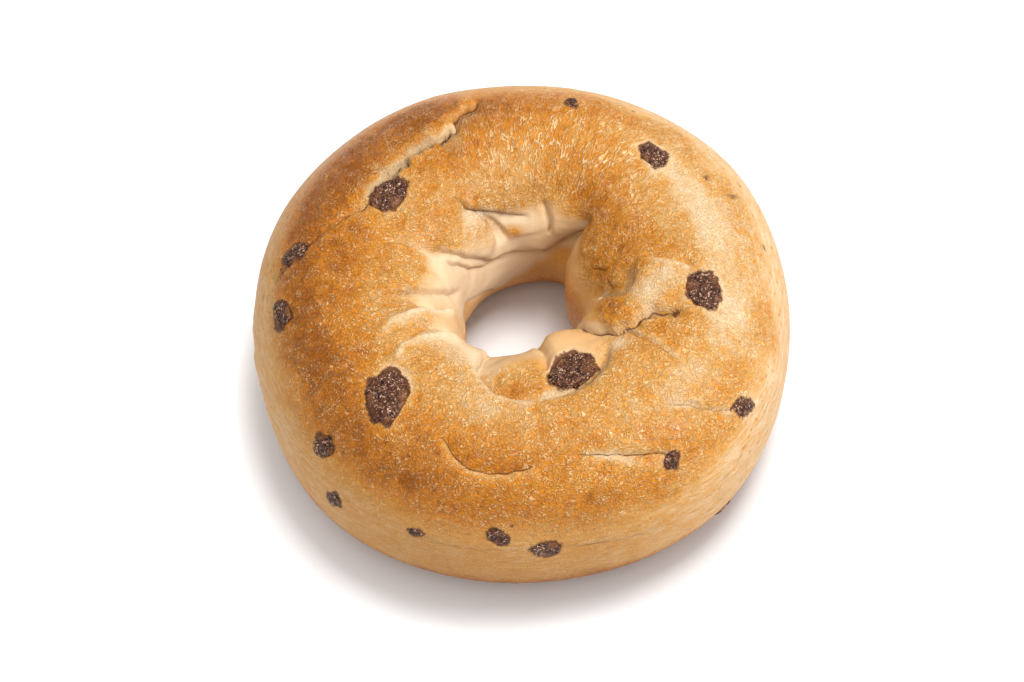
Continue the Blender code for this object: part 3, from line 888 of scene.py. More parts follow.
class Socket:
    """A value of a shader, on which maths is written as plain expressions."""

    def __init__(self, sheet: "Sheet", plug: bpy.types.NodeSocket) -> None:
        """Wrap a socket.

        Args:
            sheet: The sheet that its node is on.
            plug: The node's output.
        """
        self.sheet = sheet
        self.plug = plug

    def maths(self, operation: str, first: "Socket | float", second: "Socket | float" = 0.0) -> "Socket":
        """Add a Math node."""
        return self.sheet.node("ShaderNodeMath", {"operation": operation}, {0: first, 1: second})

    def __add__(self, other: "Socket | float") -> "Socket":
        """Add."""
        return self.maths("ADD", self, other)

    __radd__ = __add__

    def __sub__(self, other: "Socket | float") -> "Socket":
        """Take away."""
        return self.maths("SUBTRACT", self, other)

    def __rsub__(self, other: "Socket | float") -> "Socket":
        """Take this away from a number."""
        return self.maths("SUBTRACT", other, self)

    def __mul__(self, other: "Socket | float") -> "Socket":
        """Multiply."""
        return self.maths("MULTIPLY", self, other)

    __rmul__ = __mul__

    def __abs__(self) -> "Socket":
        """Drop the sign."""
        return self.maths("ABSOLUTE", self)

    def least(self, other: "Socket | float") -> "Socket":
        """Give the smaller of two values."""
        return self.maths("MINIMUM", self, other)

    def between(self, low: float, high: float) -> "Socket":
        """Rise smoothly from 0 to 1 between two values, or fall where the first is the larger."""
        return self.sheet.node("ShaderNodeMapRange", {"interpolation_type": "SMOOTHSTEP"}, {0: self, 1: low, 2: high})


class Sheet:
    """A material's nodes."""

    def __init__(self, name: str) -> None:
        """Start an empty material.

        Args:
            name: The material's name.
        """
        self.material = bpy.data.materials.new(name)
        self.material.use_nodes = True
        self.tree = self.material.node_tree
        self.tree.nodes.clear()

    def node(self, kind: str, settings: dict, values: dict, result: str | int = 0) -> Socket | None:
        """Add a node.

        Args:
            kind: The node's type.
            settings: Its settings, which are set first. A ramp's are its stops, as places and colours.
            values: What goes into its sockets, by name or number.
            result: Which output is wanted.

        Returns:
            That output, or nothing where the node has none.
        """
        made = self.tree.nodes.new(kind)
        for name, value in settings.items():
            if name == "stops":
                self.fill_ramp(made.color_ramp, value)
            else:
                setattr(made, name, value)
        for name, value in values.items():
            if isinstance(value, Socket):
                self.tree.links.new(value.plug, made.inputs[name])
            else:
                made.inputs[name].default_value = value
        return Socket(self, made.outputs[result]) if made.outputs else None

    def fill_ramp(self, ramp: bpy.types.ColorRamp, stops: tuple) -> None:
        """Set a ramp's stops.

        Args:
            ramp: The ramp.
            stops: Pairs of a place and a colour.
        """
        while len(ramp.elements) < len(stops):
            ramp.elements.new(1.0)
        for element, (place, colour) in zip(ramp.elements, stops):
            element.position = place
            element.color = (*colour, 1)

    def mix(self, share: Socket | float, first: Socket | tuple, second: Socket | tuple) -> Socket:
        """Mix two colours.

        Args:
            share: How much of the second colour there is.
            first: The first colour.
            second: The second colour.

        Returns:
            The mixed colour.
        """
        first = first if isinstance(first, Socket) else (*first, 1)
        second = second if isinstance(second, Socket) else (*second, 1)
        return self.node("ShaderNodeMix", {"data_type": "RGBA"}, {0: share, 6: first, 7: second}, 2)

    def attribute(self, name: str, result: str = "Fac") -> Socket:
        """Read a value that the mesh carries."""
        return self.node("ShaderNodeAttribute", {"attribute_name": name}, {}, result)

    def place(self) -> Socket:
        """Give the place on the object, in millimetres."""
        place = self.node("ShaderNodeTexCoord", {}, {}, "Object")
        return self.stretched(place, (MM_IN_METRE, MM_IN_METRE, MM_IN_METRE))

    def noise(self, place: Socket, texture: Texture) -> Socket:
        """Add noise.

        Args:
            place: Where it is read, in millimetres.
            texture: What it is like.

        Returns:
            A value about 0.5.
        """
        if texture.stretch is not None:
            place = self.stretched(place, texture.stretch)
        return self.node("ShaderNodeTexNoise", {}, {
            "Vector": place, "Scale": 1 / texture.wavelength, "Detail": texture.detail,
            "Roughness": texture.roughness, "Distortion": texture.bend,
        })

    def stretched(self, place: Socket, amounts: tuple) -> Socket:
        """Multiply a vector by other amounts along its parts."""
        return self.node("ShaderNodeVectorMath", {"operation": "MULTIPLY"}, {0: place, 1: amounts})

    def surface(self, values: dict) -> bpy.types.Material:
        """Finish the material with a Principled shader.

        Args:
            values: What goes into the shader's sockets.

        Returns:
            The material.
        """
        shader = self.node("ShaderNodeBsdfPrincipled", {}, values)
        self.node("ShaderNodeOutputMaterial", {}, {"Surface": shader})
        return self.material


@dataclass(frozen=True)
class CrustFinish:
    """Baked dough: cream where it is pale, golden and wrinkled where it is browned, stained round its raisins.

    Depths deepen the browning, and covers say how much of a colour lies over it. Painted highlights lie on the
    wrinkles' crests and along crease lips, and painted shade lies in the creases, in the wrinkles' valleys and on the
    lower sides.
    """

    raw: tuple = (0.68, 0.52, 0.345)
    cream: tuple = (0.62, 0.42, 0.23)
    pale_gold: tuple = (0.58, 0.278, 0.064)
    golden: tuple = (0.56, 0.200, 0.012)
    brown: tuple = (0.46, 0.146, 0.007)
    deep_brown: tuple = (0.31, 0.088, 0.004)
    # Painted highlight on the wrinkles' crests
    crest_highlight: tuple = (0.96, 0.75, 0.42)
    torn: tuple = (0.38, 0.25, 0.135)
    # Painted shade on the lower sides
    side_shade: tuple = (0.20, 0.105, 0.040)
    # Real stains, which also darken the raisins' edges partly as painted shade
    stain: tuple = (0.13, 0.050, 0.022)
    # Painted shade in the creases
    crease_shade: tuple = (0.11, 0.035, 0.010)
    cloud: Texture = Texture(8, 3, 0.55)
    mottle: Texture = Texture(2.6, 3, 0.6, 0.4)
    speck: Texture = Texture(0.42, 2, 0.7, 0.5)
    curls: Texture = Texture(0.84, 1, 0.6, 0.7)
    rays: Texture = Texture(0.76, 1, 0.6, 0.6, (1, 1, 0.32))
    streak: Texture = Texture(0.8, 3, 0.65, 0, (0.34, 0.34, 1))
    dash: Texture = Texture(0.50, 1, 0.4, 0, (0.36, 0.36, 1))
    # Painted highlight sparkles on the crown
    sparkle_highlight: Texture = Texture(0.45, 1, 0.5)
    fleck: Texture = Texture(1.1, 1, 0.4)
    ridge_sharpness: float = 4
    sparse: tuple = (0.66, 0.74)
    middling: tuple = (0.40, 0.60)
    # Bands beside the creases: painted shade in them and a painted highlight along their lips, as shift, half width
    # and softness
    crease_shade_band: tuple = (0.12, 0.34, 0.30)
    lip_highlight_band: tuple = (-0.55, 0.34, 0.34)
    crown_rise: tuple = (0.12, 0.5)
    cloud_depth: float = 0.42
    mottle_depth: float = 0.38
    speck_depth: float = 0.20
    # How much the painted highlight pales the tone on the crests
    crest_highlight_paleness: float = 0.10
    # How much the wrinkles' valleys are darkened and their ridges paled, as painted shade and painted highlight
    valley_shade: float = 0.26
    streak_depth: float = 0.16
    fleck_depth: float = 0.28
    # How much painted highlight covers the crests
    crest_highlight_cover: float = 0.76
    # How much painted sparkle covers the crown
    sparkle_highlight_cover: float = 0.30
    dash_cover: float = 0.40
    # How much painted highlight lies along the creases' lips
    lip_highlight_cover: float = 0.45
    most_cover: float = 0.9
    bump_depth: float = 0.64 * MM
    bump_strength: float = 0.9
    rough: float = 0.55
    coat: float = 0.24
    coat_rough: float = 0.34
    specular: float = 0.12

    def ridges(self, noise: Socket) -> Socket:
        """Turn noise into thin lines where it crosses its middle."""
        return (1 - abs(noise * 2 - 1) * self.ridge_sharpness).between(0.25, 0.90)

    def beside(self, crease_side: Socket, band: tuple, crease_shaded: Socket) -> Socket:
        """Draw a band beside the creases.

        Args:
            crease_side: How far each point is from a crease, in millimetres.
            band: What is added to that distance, the band's half width, and how soft it is.
            crease_shaded: How strong the crease is.

        Returns:
            How much of the band there is.
        """
        shift, half_width, softness = band
        return (half_width - abs(crease_side + shift)).between(0.0, softness) * crease_shaded

    def build(self) -> bpy.types.Material:
        """Make the material.

        Returns:
            The material.
        """
        sheet = Sheet("baked_crust_finish")
        place = sheet.place()
        developed = sheet.attribute("developed", "Vector")
        browned, stained_and_shaded, crease_shaded, rayed, torn = (
            sheet.attribute(name) for name in ("browned", "stained_and_shaded", "crease_shaded", "rayed", "torn")
        )
        flank, crease_side, wrinkled, side_shaded, crusted = (
            sheet.attribute(name) for name in ("flank", "crease_side", "wrinkled", "side_shaded", "crusted")
        )

        # Where painted highlights go: the crests of the wrinkles, as curls on the crown and rays at the back
        mottle = sheet.noise(place, self.mottle)
        speck = sheet.noise(place, self.speck)
        curls = self.ridges(sheet.noise(place, self.curls))
        rays = self.ridges(sheet.noise(developed, self.rays))
        line = curls * (1 - rayed) + rays * rayed
        solid = rayed * 0.35 + 0.20
        broken = solid + speck.between(*self.middling) * (1 - solid)
        crest_highlight = line * broken * (0.18 + mottle.between(*self.middling) * 0.95)

        # What lies on the pale sides
        streak = sheet.noise(developed, self.streak).between(0.30, 0.70)
        dash = sheet.noise(developed, self.dash).between(*self.sparse) * flank
        fleck = sheet.noise(place, self.fleck).between(*self.sparse) * flank

        # How deep the browning is at each point, and its colour
        crown = browned.between(*self.crown_rise)
        grain = crown * 0.5 + crusted * 0.5
        cloud = sheet.noise(place, self.cloud)
        tone = browned + (cloud - 0.5) * self.cloud_depth * (0.1 + crown * 0.9)
        tone = tone + (mottle - 0.5) * self.mottle_depth * grain + crown * 0.02
        # Paler on the crests, as painted highlight
        tone = tone - (speck - 0.5) * self.speck_depth * grain - (crest_highlight - 0.15) * self.crest_highlight_paleness * grain
        # Browner in the wrinkles' valleys and paler on their ridges: painted shade and painted highlight
        tone = tone - wrinkled * self.valley_shade * grain
        tone = tone + (streak - 0.5) * self.streak_depth * flank * (1 - crown * 0.7)
        tone = tone + fleck * self.fleck_depth * (1 - crown)
        stops = (
            (0.0, self.raw), (0.10, self.cream), (0.30, self.pale_gold), (0.55, self.golden), (0.82, self.brown),
            (1.0, self.deep_brown),
        )
        colour = sheet.node("ShaderNodeValToRGB", {"stops": stops}, {0: tone})

        # What covers it: painted highlights on the crests and in sparkles, painted shade on the lower sides, torn
        # crumb, dashes, stains with painted shade at raisin edges, painted highlights on crease lips and painted
        # shade in creases
        sparkle_highlight = sheet.noise(place, self.sparkle_highlight).between(0.60, 0.72)
        lit = crest_highlight * (rayed * 0.2 + self.crest_highlight_cover - browned * 0.52) + sparkle_highlight * (self.sparkle_highlight_cover - browned * 0.22)
        colour = sheet.mix((lit * grain).least(self.most_cover), colour, self.crest_highlight)
        # Painted shade darkening the lower sides
        colour = sheet.mix(side_shaded * (0.75 + streak * 0.5), colour, self.side_shade)
        rough = speck.between(0.35, 0.65) * 0.6 + mottle.between(*self.middling) * 0.4
        colour = sheet.mix((torn * (0.35 + rough * 0.65)).least(self.most_cover), colour, self.torn)
        colour = sheet.mix(dash * (1 - crown * 0.6) * self.dash_cover, colour, self.stain)
        # Stains, with painted shade at the raisins' edges
        spotted = (stained_and_shaded * 1.3 + (speck - 0.5) * 1.6 * stained_and_shaded.between(0.02, 0.3)).between(0.15, 0.85)
        colour = sheet.mix(spotted, colour, self.stain)
        # A painted highlight along the lips of the creases
        lip = self.beside(crease_side, self.lip_highlight_band, crease_shaded.between(0.10, 0.8))
        colour = sheet.mix(lip * self.lip_highlight_cover, colour, self.cream)
        # Painted shade in the creases
        crease = self.beside(crease_side, self.crease_shade_band, crease_shaded.between(0.03, 0.75))
        colour = sheet.mix(crease * self.most_cover, colour, self.crease_shade)

        bumps = line * grain * 0.6 + speck * (0.15 + grain * 0.6 + torn * 0.8) + streak * 0.4 * flank * (1 - crown)
        relief = {"Height": bumps, "Distance": self.bump_depth, "Strength": self.bump_strength}
        return sheet.surface({
            "Base Color": colour,
            "Roughness": self.rough - crown * 0.20 + (mottle - 0.5) * 0.15,
            "Normal": sheet.node("ShaderNodeBump", {}, relief),
            "Coat Weight": grain * (self.coat - browned * 0.18),
            "Coat Roughness": self.coat_rough,
            "Specular IOR Level": self.specular,
        })


@dataclass(frozen=True)
class RaisinFinish:
    """A raisin's dark wrinkled skin, with painted shade in its valleys and painted highlight specks on its crests."""

    # Painted shade in the wrinkles' valleys
    shaded_valley: tuple = (0.012, 0.004, 0.003)
    skin: tuple = (0.080, 0.024, 0.009)
    caramel: tuple = (0.24, 0.085, 0.018)
    # Painted highlight specks on the raisin's crests
    glint_speck: tuple = (0.80, 0.52, 0.36)
    speck: Texture = Texture(0.36, 2, 0.6, 0.8)
    wrinkle: Texture = Texture(0.8, 2, 0.6, 1.0)
    broad: Texture = Texture(2.4, 2, 0.5)
    bump_depth: float = 0.6 * MM
    bump_strength: float = 0.7
    rough: float = 0.30
    coat: float = 0.2
    coat_rough: float = 0.2
    specular: float = 0.15

    def build(self) -> bpy.types.Material:
        """Make the material.

        Returns:
            The material.
        """
        sheet = Sheet("raisin_skin_finish")
        place = sheet.place()
        speck = sheet.noise(place, self.speck)
        wrinkle = sheet.noise(place, self.wrinkle)
        broad = sheet.noise(place, self.broad)
        # Darker in the wrinkles' valleys: painted shade
        stops = ((0.34, self.shaded_valley), (0.52, self.skin))
        colour = sheet.node("ShaderNodeValToRGB", {"stops": stops}, {0: wrinkle})
        colour = sheet.mix(broad.between(0.52, 0.70) * 0.45, colour, self.caramel)
        # Painted highlight specks on the wrinkle crests
        glint_specked = speck.between(0.54, 0.64) * (0.3 + broad.between(0.60, 0.40) * 0.7) * wrinkle.between(0.38, 0.54)
        colour = sheet.mix(glint_specked * 0.9, colour, self.glint_speck)
        relief = {"Height": wrinkle + speck * 0.5, "Distance": self.bump_depth, "Strength": self.bump_strength}
        return sheet.surface({
            "Base Color": colour,
            "Roughness": self.rough + wrinkle * 0.25,
            "Normal": sheet.node("ShaderNodeBump", {}, relief),
            "Coat Weight": self.coat * broad,
            "Coat Roughness": self.coat_rough,
            "Specular IOR Level": self.specular,
        })


@dataclass(frozen=True)
class FloorFinish:
    """The plain pale floor, with the faintest unevenness."""

    light: tuple = (0.81, 0.81, 0.81)
    shade: tuple = (0.79, 0.79, 0.79)
    clouds_in_metre: float = 3.0

    def build(self) -> bpy.types.Material:
        """Make the material.

        Returns:
            The material.
        """
        sheet = Sheet("pale_floor_finish")
        place = sheet.node("ShaderNodeTexCoord", {}, {}, "Object")
        values = {"Vector": place, "Scale": self.clouds_in_metre, "Detail": 2.0}
        cloud = sheet.node("ShaderNodeTexNoise", {}, values)
        return sheet.surface({"Base Color": sheet.mix(cloud, self.light, self.shade), "Roughness": 0.9})


@dataclass(frozen=True)
class Baking:
    """How the crust browns: rises as a start and a length in degrees of the section, and shares of browning."""

    broad: Grain = Grain(14, seed=21)
    near: Grain = Grain(5, seed=22)
    broad_shift: float = 3.0
    near_shift: float = 1.5
    outer_rise: tuple = (-9, 22)
    inner_rise: tuple = (-9, 18)
    crown_ends: float = 250
    base_rise: tuple = (214, 16)
    base_fall: tuple = (340, -12)
    base_brown: float = 0.56
    wall_rise: tuple = (-4, 14)
    wall_from: float = 120
    wall_to: float = 240
    wall_brown: float = 0.22
    towards_hole: tuple = (62, 34)
    pale_loss: float = 0.55
    pale_rise: tuple = (0, 0.3)
    pale_uncrusted: float = 0.6
    least: float = 0.13
    least_fall: tuple = (128, -24)
    # Where the painted shade on the lower sides is strongest, and how it fades
    side_shade_middle: float = 2
    side_shade_fall: tuple = (46, -26)
    flank_fall: tuple = (70, -20)


@dataclass
class Dough:
    """The ring of dough with its folds, its wrinkles and its crust.

    The edges give a section angle at each of some ring angles, and the bakes and the painted shade on the lower
    sides give a share.
    """

    ring_rows: int = 520
    section_rows: int = 188
    finest_at: float = 115.0
    crowding: float = 0.45
    crust_edge: tuple = (
        (0, 42), (30, 50), (60, 54), (75, 58), (100, 61), (125, 54), (150, 50), (180, 46), (200, 42), (220, 35),
        (245, 31), (270, 28), (290, 29), (310, 31), (330, 36), (350, 41),
    )
    hole_edge: tuple = (
        (0, 146), (20, 148), (38, 144), (50, 130), (70, 129), (90, 137), (98, 140), (102, 150), (112, 152),
        (124, 150), (140, 147), (152, 136), (162, 130), (175, 137), (188, 134), (198, 124), (210, 128),
        (222, 124), (238, 120), (250, 116), (262, 122), (278, 116), (292, 106), (306, 112), (320, 112),
        (330, 130), (345, 134),
    )
    wall_brown: tuple = (
        (0, 164), (20, 166), (40, 166), (60, 172), (75, 190), (100, 210), (112, 204), (130, 190), (150, 182),
        (170, 176), (200, 172), (240, 176), (280, 180), (320, 176), (340, 168),
    )
    outer_bake: tuple = (
        (0, 0.42), (30, 0.38), (60, 0.48), (85, 0.66), (110, 0.82), (150, 0.84), (200, 0.81), (240, 0.76),
        (262, 0.66), (290, 0.54), (330, 0.47),
    )
    inner_bake: tuple = (
        (0, 0.48), (30, 0.58), (60, 0.58), (90, 0.48), (105, 0.46), (140, 0.48), (170, 0.46), (200, 0.42),
        (240, 0.36), (260, 0.30), (285, 0.48), (320, 0.44), (340, 0.46),
    )
    side_bake: tuple = (
        (0, 0.11), (50, 0.13), (90, 0.24), (140, 0.30), (180, 0.21), (215, 0.24), (250, 0.32), (285, 0.33),
        (310, 0.20), (335, 0.13),
    )
    # How much painted shade darkens the lower side, by ring angle
    side_shade_amounts: tuple = (
        (0, 0.10), (50, 0.12), (90, 0.12), (150, 0.10), (200, 0.06), (225, 0.10), (255, 0.19), (285, 0.24),
        (310, 0.10), (335, 0.12),
    )
    wall_bake: tuple = (
        (0, 0.24), (40, 0.22), (62, 0.10), (90, 0.03), (180, 0.03), (205, 0.14), (240, 0.10), (280, 0.14),
        (320, 0.22),
    )
    baking: Baking = Baking()
    finish: CrustFinish = CrustFinish()
    surface: Skin = field(init=False)
    shift: np.ndarray = field(init=False)

    def angles(self) -> tuple:
        """Lay out the rows of the surface.

        Returns:
            The ring angle and the section angle of each point.
        """
        ring = np.arange(self.ring_rows) * 360 / self.ring_rows
        even = np.arange(self.section_rows) * 2 * math.pi / self.section_rows
        section = np.degrees(even - self.crowding * np.sin(even - math.radians(self.finest_at))) % 360
        grid = np.meshgrid(ring, section, indexing="ij")
        return grid[0].ravel(), grid[1].ravel()

    def edge_at(self, edge: tuple, ring: np.ndarray) -> np.ndarray:
        """Read an edge that goes round the ring.

        Args:
            edge: Pairs of a ring angle and a section angle.
            ring: Ring angles.

        Returns:
            The edge's section angle at each of them.
        """
        places, values = np.array(edge, float).T
        return np.interp(ring, [*(places - 360), *places, *(places + 360)], [*values, *values, *values])

    def developed(self, ring: np.ndarray, section: np.ndarray) -> np.ndarray:
        """Lay the surface flat for textures that follow it.

        Args:
            ring: Ring angles.
            section: Section angles.

        Returns:
            Places in millimetres: round the ring in two parts, and along the section in the third.
        """
        turned = np.radians(ring)
        around = RING.radius / MM
        along = np.radians(turned_by(section, 90)) * RING.half_width / MM
        return np.stack([around * np.cos(turned), around * np.sin(turned), along], axis=-1)

    def browning(self, skin: Skin) -> np.ndarray:
        """Work out how browned the crust is, and note on the skin where it is crusted.

        Args:
            skin: The surface, folded.

        Returns:
            Values from 0, pale dough, to 1, deep brown.
        """
        baking = self.baking
        uneven = baking.broad_shift * baking.broad.at(skin.places) + baking.near_shift * baking.near.at(skin.places)
        section = skin.section + uneven
        outer = rise(section - self.edge_at(self.crust_edge, skin.ring), *baking.outer_rise)
        inner = rise(self.edge_at(self.hole_edge, skin.ring) - section, *baking.inner_rise)
        crown = np.where(skin.section < baking.crown_ends, outer * inner, 0)
        base = np.where(skin.section > 180, rise(section, *baking.base_rise), 0) * rise(section, *baking.base_fall)
        wall = rise(section - self.edge_at(self.wall_brown, skin.ring), *baking.wall_rise)
        on_wall = (skin.section > baking.wall_from) & (skin.section < baking.wall_to)
        wall = np.where(on_wall, wall, 0) * (1 - base)

        towards_hole = rise(skin.section, *baking.towards_hole)
        bake = self.edge_at(self.outer_bake, skin.ring) * (1 - towards_hole)
        bake += self.edge_at(self.inner_bake, skin.ring) * towards_hole
        outside = np.abs(turned_by(skin.section, 0)) < 90
        side, hole = (self.edge_at(edge, skin.ring) for edge in (self.side_bake, self.wall_bake))
        unbrowned = np.where(outside, side, hole)
        browned = bake * crown + baking.base_brown * base + baking.wall_brown * wall + unbrowned * (1 - crown)
        # Browning ovals, some of which partly paint a highlight on the right and shade on the left
        for patch in BROWNING_AND_PAINTED_LIGHT_PATCHES:
            browned += patch.at(skin.ring, skin.section)
        browned -= baking.pale_loss * skin.pale * rise(browned, *baking.pale_rise)
        skin.crusted = crown * (1 - baking.pale_uncrusted * np.clip(skin.pale, 0, 1))
        least = np.where(outside, baking.least, baking.least * rise(skin.section, *baking.least_fall))
        return np.clip(browned, least, 1)

    def stains(self, skin: Skin) -> np.ndarray:
        """Work out the crust's stains, with painted shade at the raisins' edges.

        Args:
            skin: The surface, with its raisins' seats.

        Returns:
            Values from 0 to 1.
        """
        stained_and_shaded = skin.stain
        for stain in STAINS:
            stained_and_shaded = np.maximum(stained_and_shaded, stain.at(skin.ring, skin.section))
        return stained_and_shaded

    def faces(self) -> np.ndarray:
        """List the corners of the surface's faces.

        Returns:
            Four numbers of points in each row.
        """
        i, j = np.meshgrid(np.arange(self.ring_rows), np.arange(self.section_rows), indexing="ij")
        next_i, next_j = (i + 1) % self.ring_rows, (j + 1) % self.section_rows
        rows = self.section_rows
        corners = (i * rows + j, next_i * rows + j, next_i * rows + next_j, i * rows + next_j)
        return np.stack([corner.ravel() for corner in corners], axis=-1)

    def make_mesh(self, skin: Skin, browned: np.ndarray, developed: np.ndarray) -> bpy.types.Mesh:
        """Make the mesh, with what its material reads at each point.

        Args:
            skin: The surface, finished.
            browned: How browned each point is.
            developed: The surface laid flat, in millimetres.

        Returns:
            The mesh.
        """
        mesh = bpy.data.meshes.new("dough_crust")
        mesh.from_pydata((skin.points() + self.shift).tolist(), [], self.faces().tolist())
        mesh.shade_smooth()
        side_shade_away = np.abs(turned_by(skin.section, self.baking.side_shade_middle))
        carried = {
            # Some of these carry painted light: painted shade along the creases and on the lower sides, and the stain
            # at the raisins' edges, which is partly painted shade.
            "browned": browned,
            "stained_and_shaded": self.stains(skin),
            "crease_shaded": skin.crease_shade,
            "torn": skin.torn,
            "rayed": skin.rayed,
            "wrinkled": skin.wrinkled,
            "crusted": skin.crusted,
            # Painted shade on the lower sides
            "side_shaded": self.edge_at(self.side_shade_amounts, skin.ring) * rise(side_shade_away, *self.baking.side_shade_fall),
            "crease_side": skin.crease_side / MM,
            "flank": rise(np.abs(turned_by(skin.section, 0)), *self.baking.flank_fall),
        }
        for name, values in carried.items():
            mesh.attributes.new(name, "FLOAT", "POINT").data.foreach_set("value", values)
        mesh.attributes.new("developed", "FLOAT_VECTOR", "POINT").data.foreach_set("vector", developed.ravel())
        mesh.materials.append(self.finish.build())
        return mesh

    def build(self) -> bpy.types.Object:
        """Make the dough.

        Returns:
            The piece.
        """
        skin = self.surface = Skin(*self.angles())
        skin.add_lumps()
        skin.add_swells()
        for fold in FOLDS.values():
            skin.add_fold(fold)
        for number, seat in enumerate(SEATS):
            skin.add_seat(seat, number)
        browned = self.browning(skin)
        developed = self.developed(skin.ring, skin.section)
        skin.add_wrinkles(browned, developed)
        points = skin.points()
        middle = (points.min(axis=0) + points.max(axis=0)) / 2
        low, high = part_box("dough")
        self.shift = np.array([(low[0] + high[0]) / 2 - middle[0], (low[1] + high[1]) / 2 - middle[1], 0])
        piece = bpy.data.objects.new("dough_crust", self.make_mesh(skin, browned, developed))
        bpy.context.scene.collection.objects.link(piece)
        return piece


@dataclass
class Raisins:
    """The raisins, each a flattened wrinkled berry that lies in the crust.

    The bends, wrinkle, finer and dent are grains: growth with size, least wavelength and first seed.
    """

    dough: Dough
    thickness: float = 0.52
    sunk: float = 0.73
    around: int = 88
    along: int = 44
    flatness: float = 6.0
    beside_from: float = 1.15
    beside_to: float = 1.5
    full_width: float = 8
    bends: tuple = ((3, 0.8, 31), (3, 0.8, 61), (3, 0.8, 91))
    wrinkle: tuple = (2.4, 0.7, 200)
    finer: tuple = (1.2, 0.4, 300)
    dent: tuple = (5, 1.5, 400)
    bend: float = 0.5
    wrinkle_height: float = 0.20
    finer_height: float = 0.10
    dent_height: float = 0.12
    ridge_level: float = 0.6
    smooth_side: float = 0.55
    side_sharpness: int = 3
    finish: RaisinFinish = RaisinFinish()

    def surface_height(self, seat: Seat) -> float:
        """Find how far the crust stands out of the plain ring round a raisin.

        Args:
            seat: Where the raisin lies.

        Returns:
            The mean height beside it, in metres.
        """
        skin = self.dough.surface
        middle = RING.point(seat.ring, seat.section)
        away = np.linalg.norm(skin.plain - middle, axis=1) / ((seat.length + seat.width) * MM / 4)
        beside = (away > self.beside_from) & (away < self.beside_to)
        return float(skin.height[beside].mean())

    def place(self, seat: Seat) -> Matrix:
        """Place a raisin.

        Args:
            seat: Where the raisin lies.

        Returns:
            A matrix with its length along X and its thickness along Z.
        """
        along, across, normal = RING.axes_at(seat.ring, seat.section, seat.turn)
        depth = self.surface_height(seat) - self.sunk * self.thickness * seat.width * MM / 2
        middle = RING.point(seat.ring, seat.section) + self.dough.shift + depth * normal
        return Matrix.Translation(Vector(middle)) @ Matrix((along, across, normal)).transposed().to_4x4()

    def directions(self) -> np.ndarray:
        """List the directions of a raisin's points: the two poles first, then the rows.

        Returns:
            Unit vectors, one in each row.
        """
        tilt = np.linspace(0, math.pi, self.along + 1)[1:-1]
        turn = np.arange(self.around) * 2 * math.pi / self.around
        tilt, turn = (grid.ravel() for grid in np.meshgrid(tilt, turn, indexing="ij"))
        way = np.stack([np.sin(tilt) * np.cos(turn), np.sin(tilt) * np.sin(turn), np.cos(tilt)], axis=-1)
        return np.concatenate([[[0, 0, 1.0]], [[0, 0, -1.0]], way])

    def grain(self, recipe: tuple, size: float, number: int) -> Grain:
        """Make a raisin's grain from its growth with size, its least wavelength and its first seed."""
        growth, least, seed = recipe
        return Grain(growth * size + least, seed=seed + number)

    def relief(self, points: np.ndarray, size: float, number: int) -> np.ndarray:
        """Work out a raisin's wrinkles and dents.

        Args:
            points: Its points in millimetres.
            size: How large it is, about 1.
            number: Which raisin it is.

        Returns:
            How far each point stands out, in millimetres.
        """
        bends = [self.grain(bend, size, number).at(points) for bend in self.bends]
        bent = points + self.bend * size * np.stack(bends, axis=-1)
        wrinkles = np.abs(self.grain(self.wrinkle, size, number).at(bent))
        finer = np.abs(self.grain(self.finer, size, number).at(bent))
        dent = self.grain(self.dent, size, number).at(points)
        relief = self.wrinkle_height * size * (self.ridge_level - wrinkles)
        return relief + self.finer_height * (self.ridge_level - finer) + self.dent_height * size * dent

    def shape(self, seat: Seat, number: int) -> np.ndarray:
        """Shape a raisin about its own middle.

        Args:
            seat: Its sizes.
            number: Which raisin it is.

        Returns:
            Its points in metres: the two poles first, then the rows.
        """
        way = self.directions()
        flat = np.abs(way[:, 0:2]) ** 2
        power = self.flatness
        reach = ((flat.sum(axis=1)) ** (power / 2) + np.abs(way[:, 2]) ** power) ** (-1 / power)
        unit = way * reach[:, None]
        side = 1 - np.abs(unit[:, 2]) ** self.side_sharpness
        edge = outline(np.arctan2(unit[:, 1], unit[:, 0]), number)
        half = np.array([seat.length, seat.width, self.thickness * seat.width]) / 2
        points = unit * half
        points[:, 0:2] *= (1 + (edge - 1) * side)[:, None]
        relief = self.relief(points, seat.width / self.full_width, number) * (1 - self.smooth_side * side)
        outward = way / half
        outward /= np.linalg.norm(outward, axis=1, keepdims=True)
        return (points + relief[:, None] * outward) * MM

    def faces(self) -> list:
        """List the faces of a raisin.

        Returns:
            Tuples of point numbers.
        """
        rows, around = self.along - 1, self.around
        faces = []
        for j in range(around):
            following = (j + 1) % around
            faces.append((0, 2 + j, 2 + following))
            last = 2 + (rows - 1) * around
            faces.append((1, last + following, last + j))
            for i in range(rows - 1):
                row, below = 2 + i * around, 2 + (i + 1) * around
                faces.append((row + j, below + j, below + following, row + following))
        return faces

    def build(self) -> dict:
        """Make the raisins.

        Returns:
            Each piece by the name of the node that it replaces.
        """
        finish = self.finish.build()
        faces = self.faces()
        pieces = {}
        for number, seat in enumerate(SEATS):
            node = f"raisin_{number + 1:02d}"
            mesh = bpy.data.meshes.new(f"{node}_skin")
            mesh.from_pydata(self.shape(seat, number).tolist(), [], faces)
            mesh.shade_smooth()
            mesh.materials.append(finish)
            piece = bpy.data.objects.new(f"{node}_skin", mesh)
            piece.matrix_world = self.place(seat)
            bpy.context.scene.collection.objects.link(piece)
            pieces[node] = piece
        return pieces


@dataclass(frozen=True)
class Softbox:
    """A soft square light: where it stands in degrees, its distance and size in metres, and its power in watts."""

    name: str
    azimuth: float
    elevation: float
    distance: float
    size: float
    energy: float
    lights_bagel: bool
    colour: tuple = (1, 1, 1)


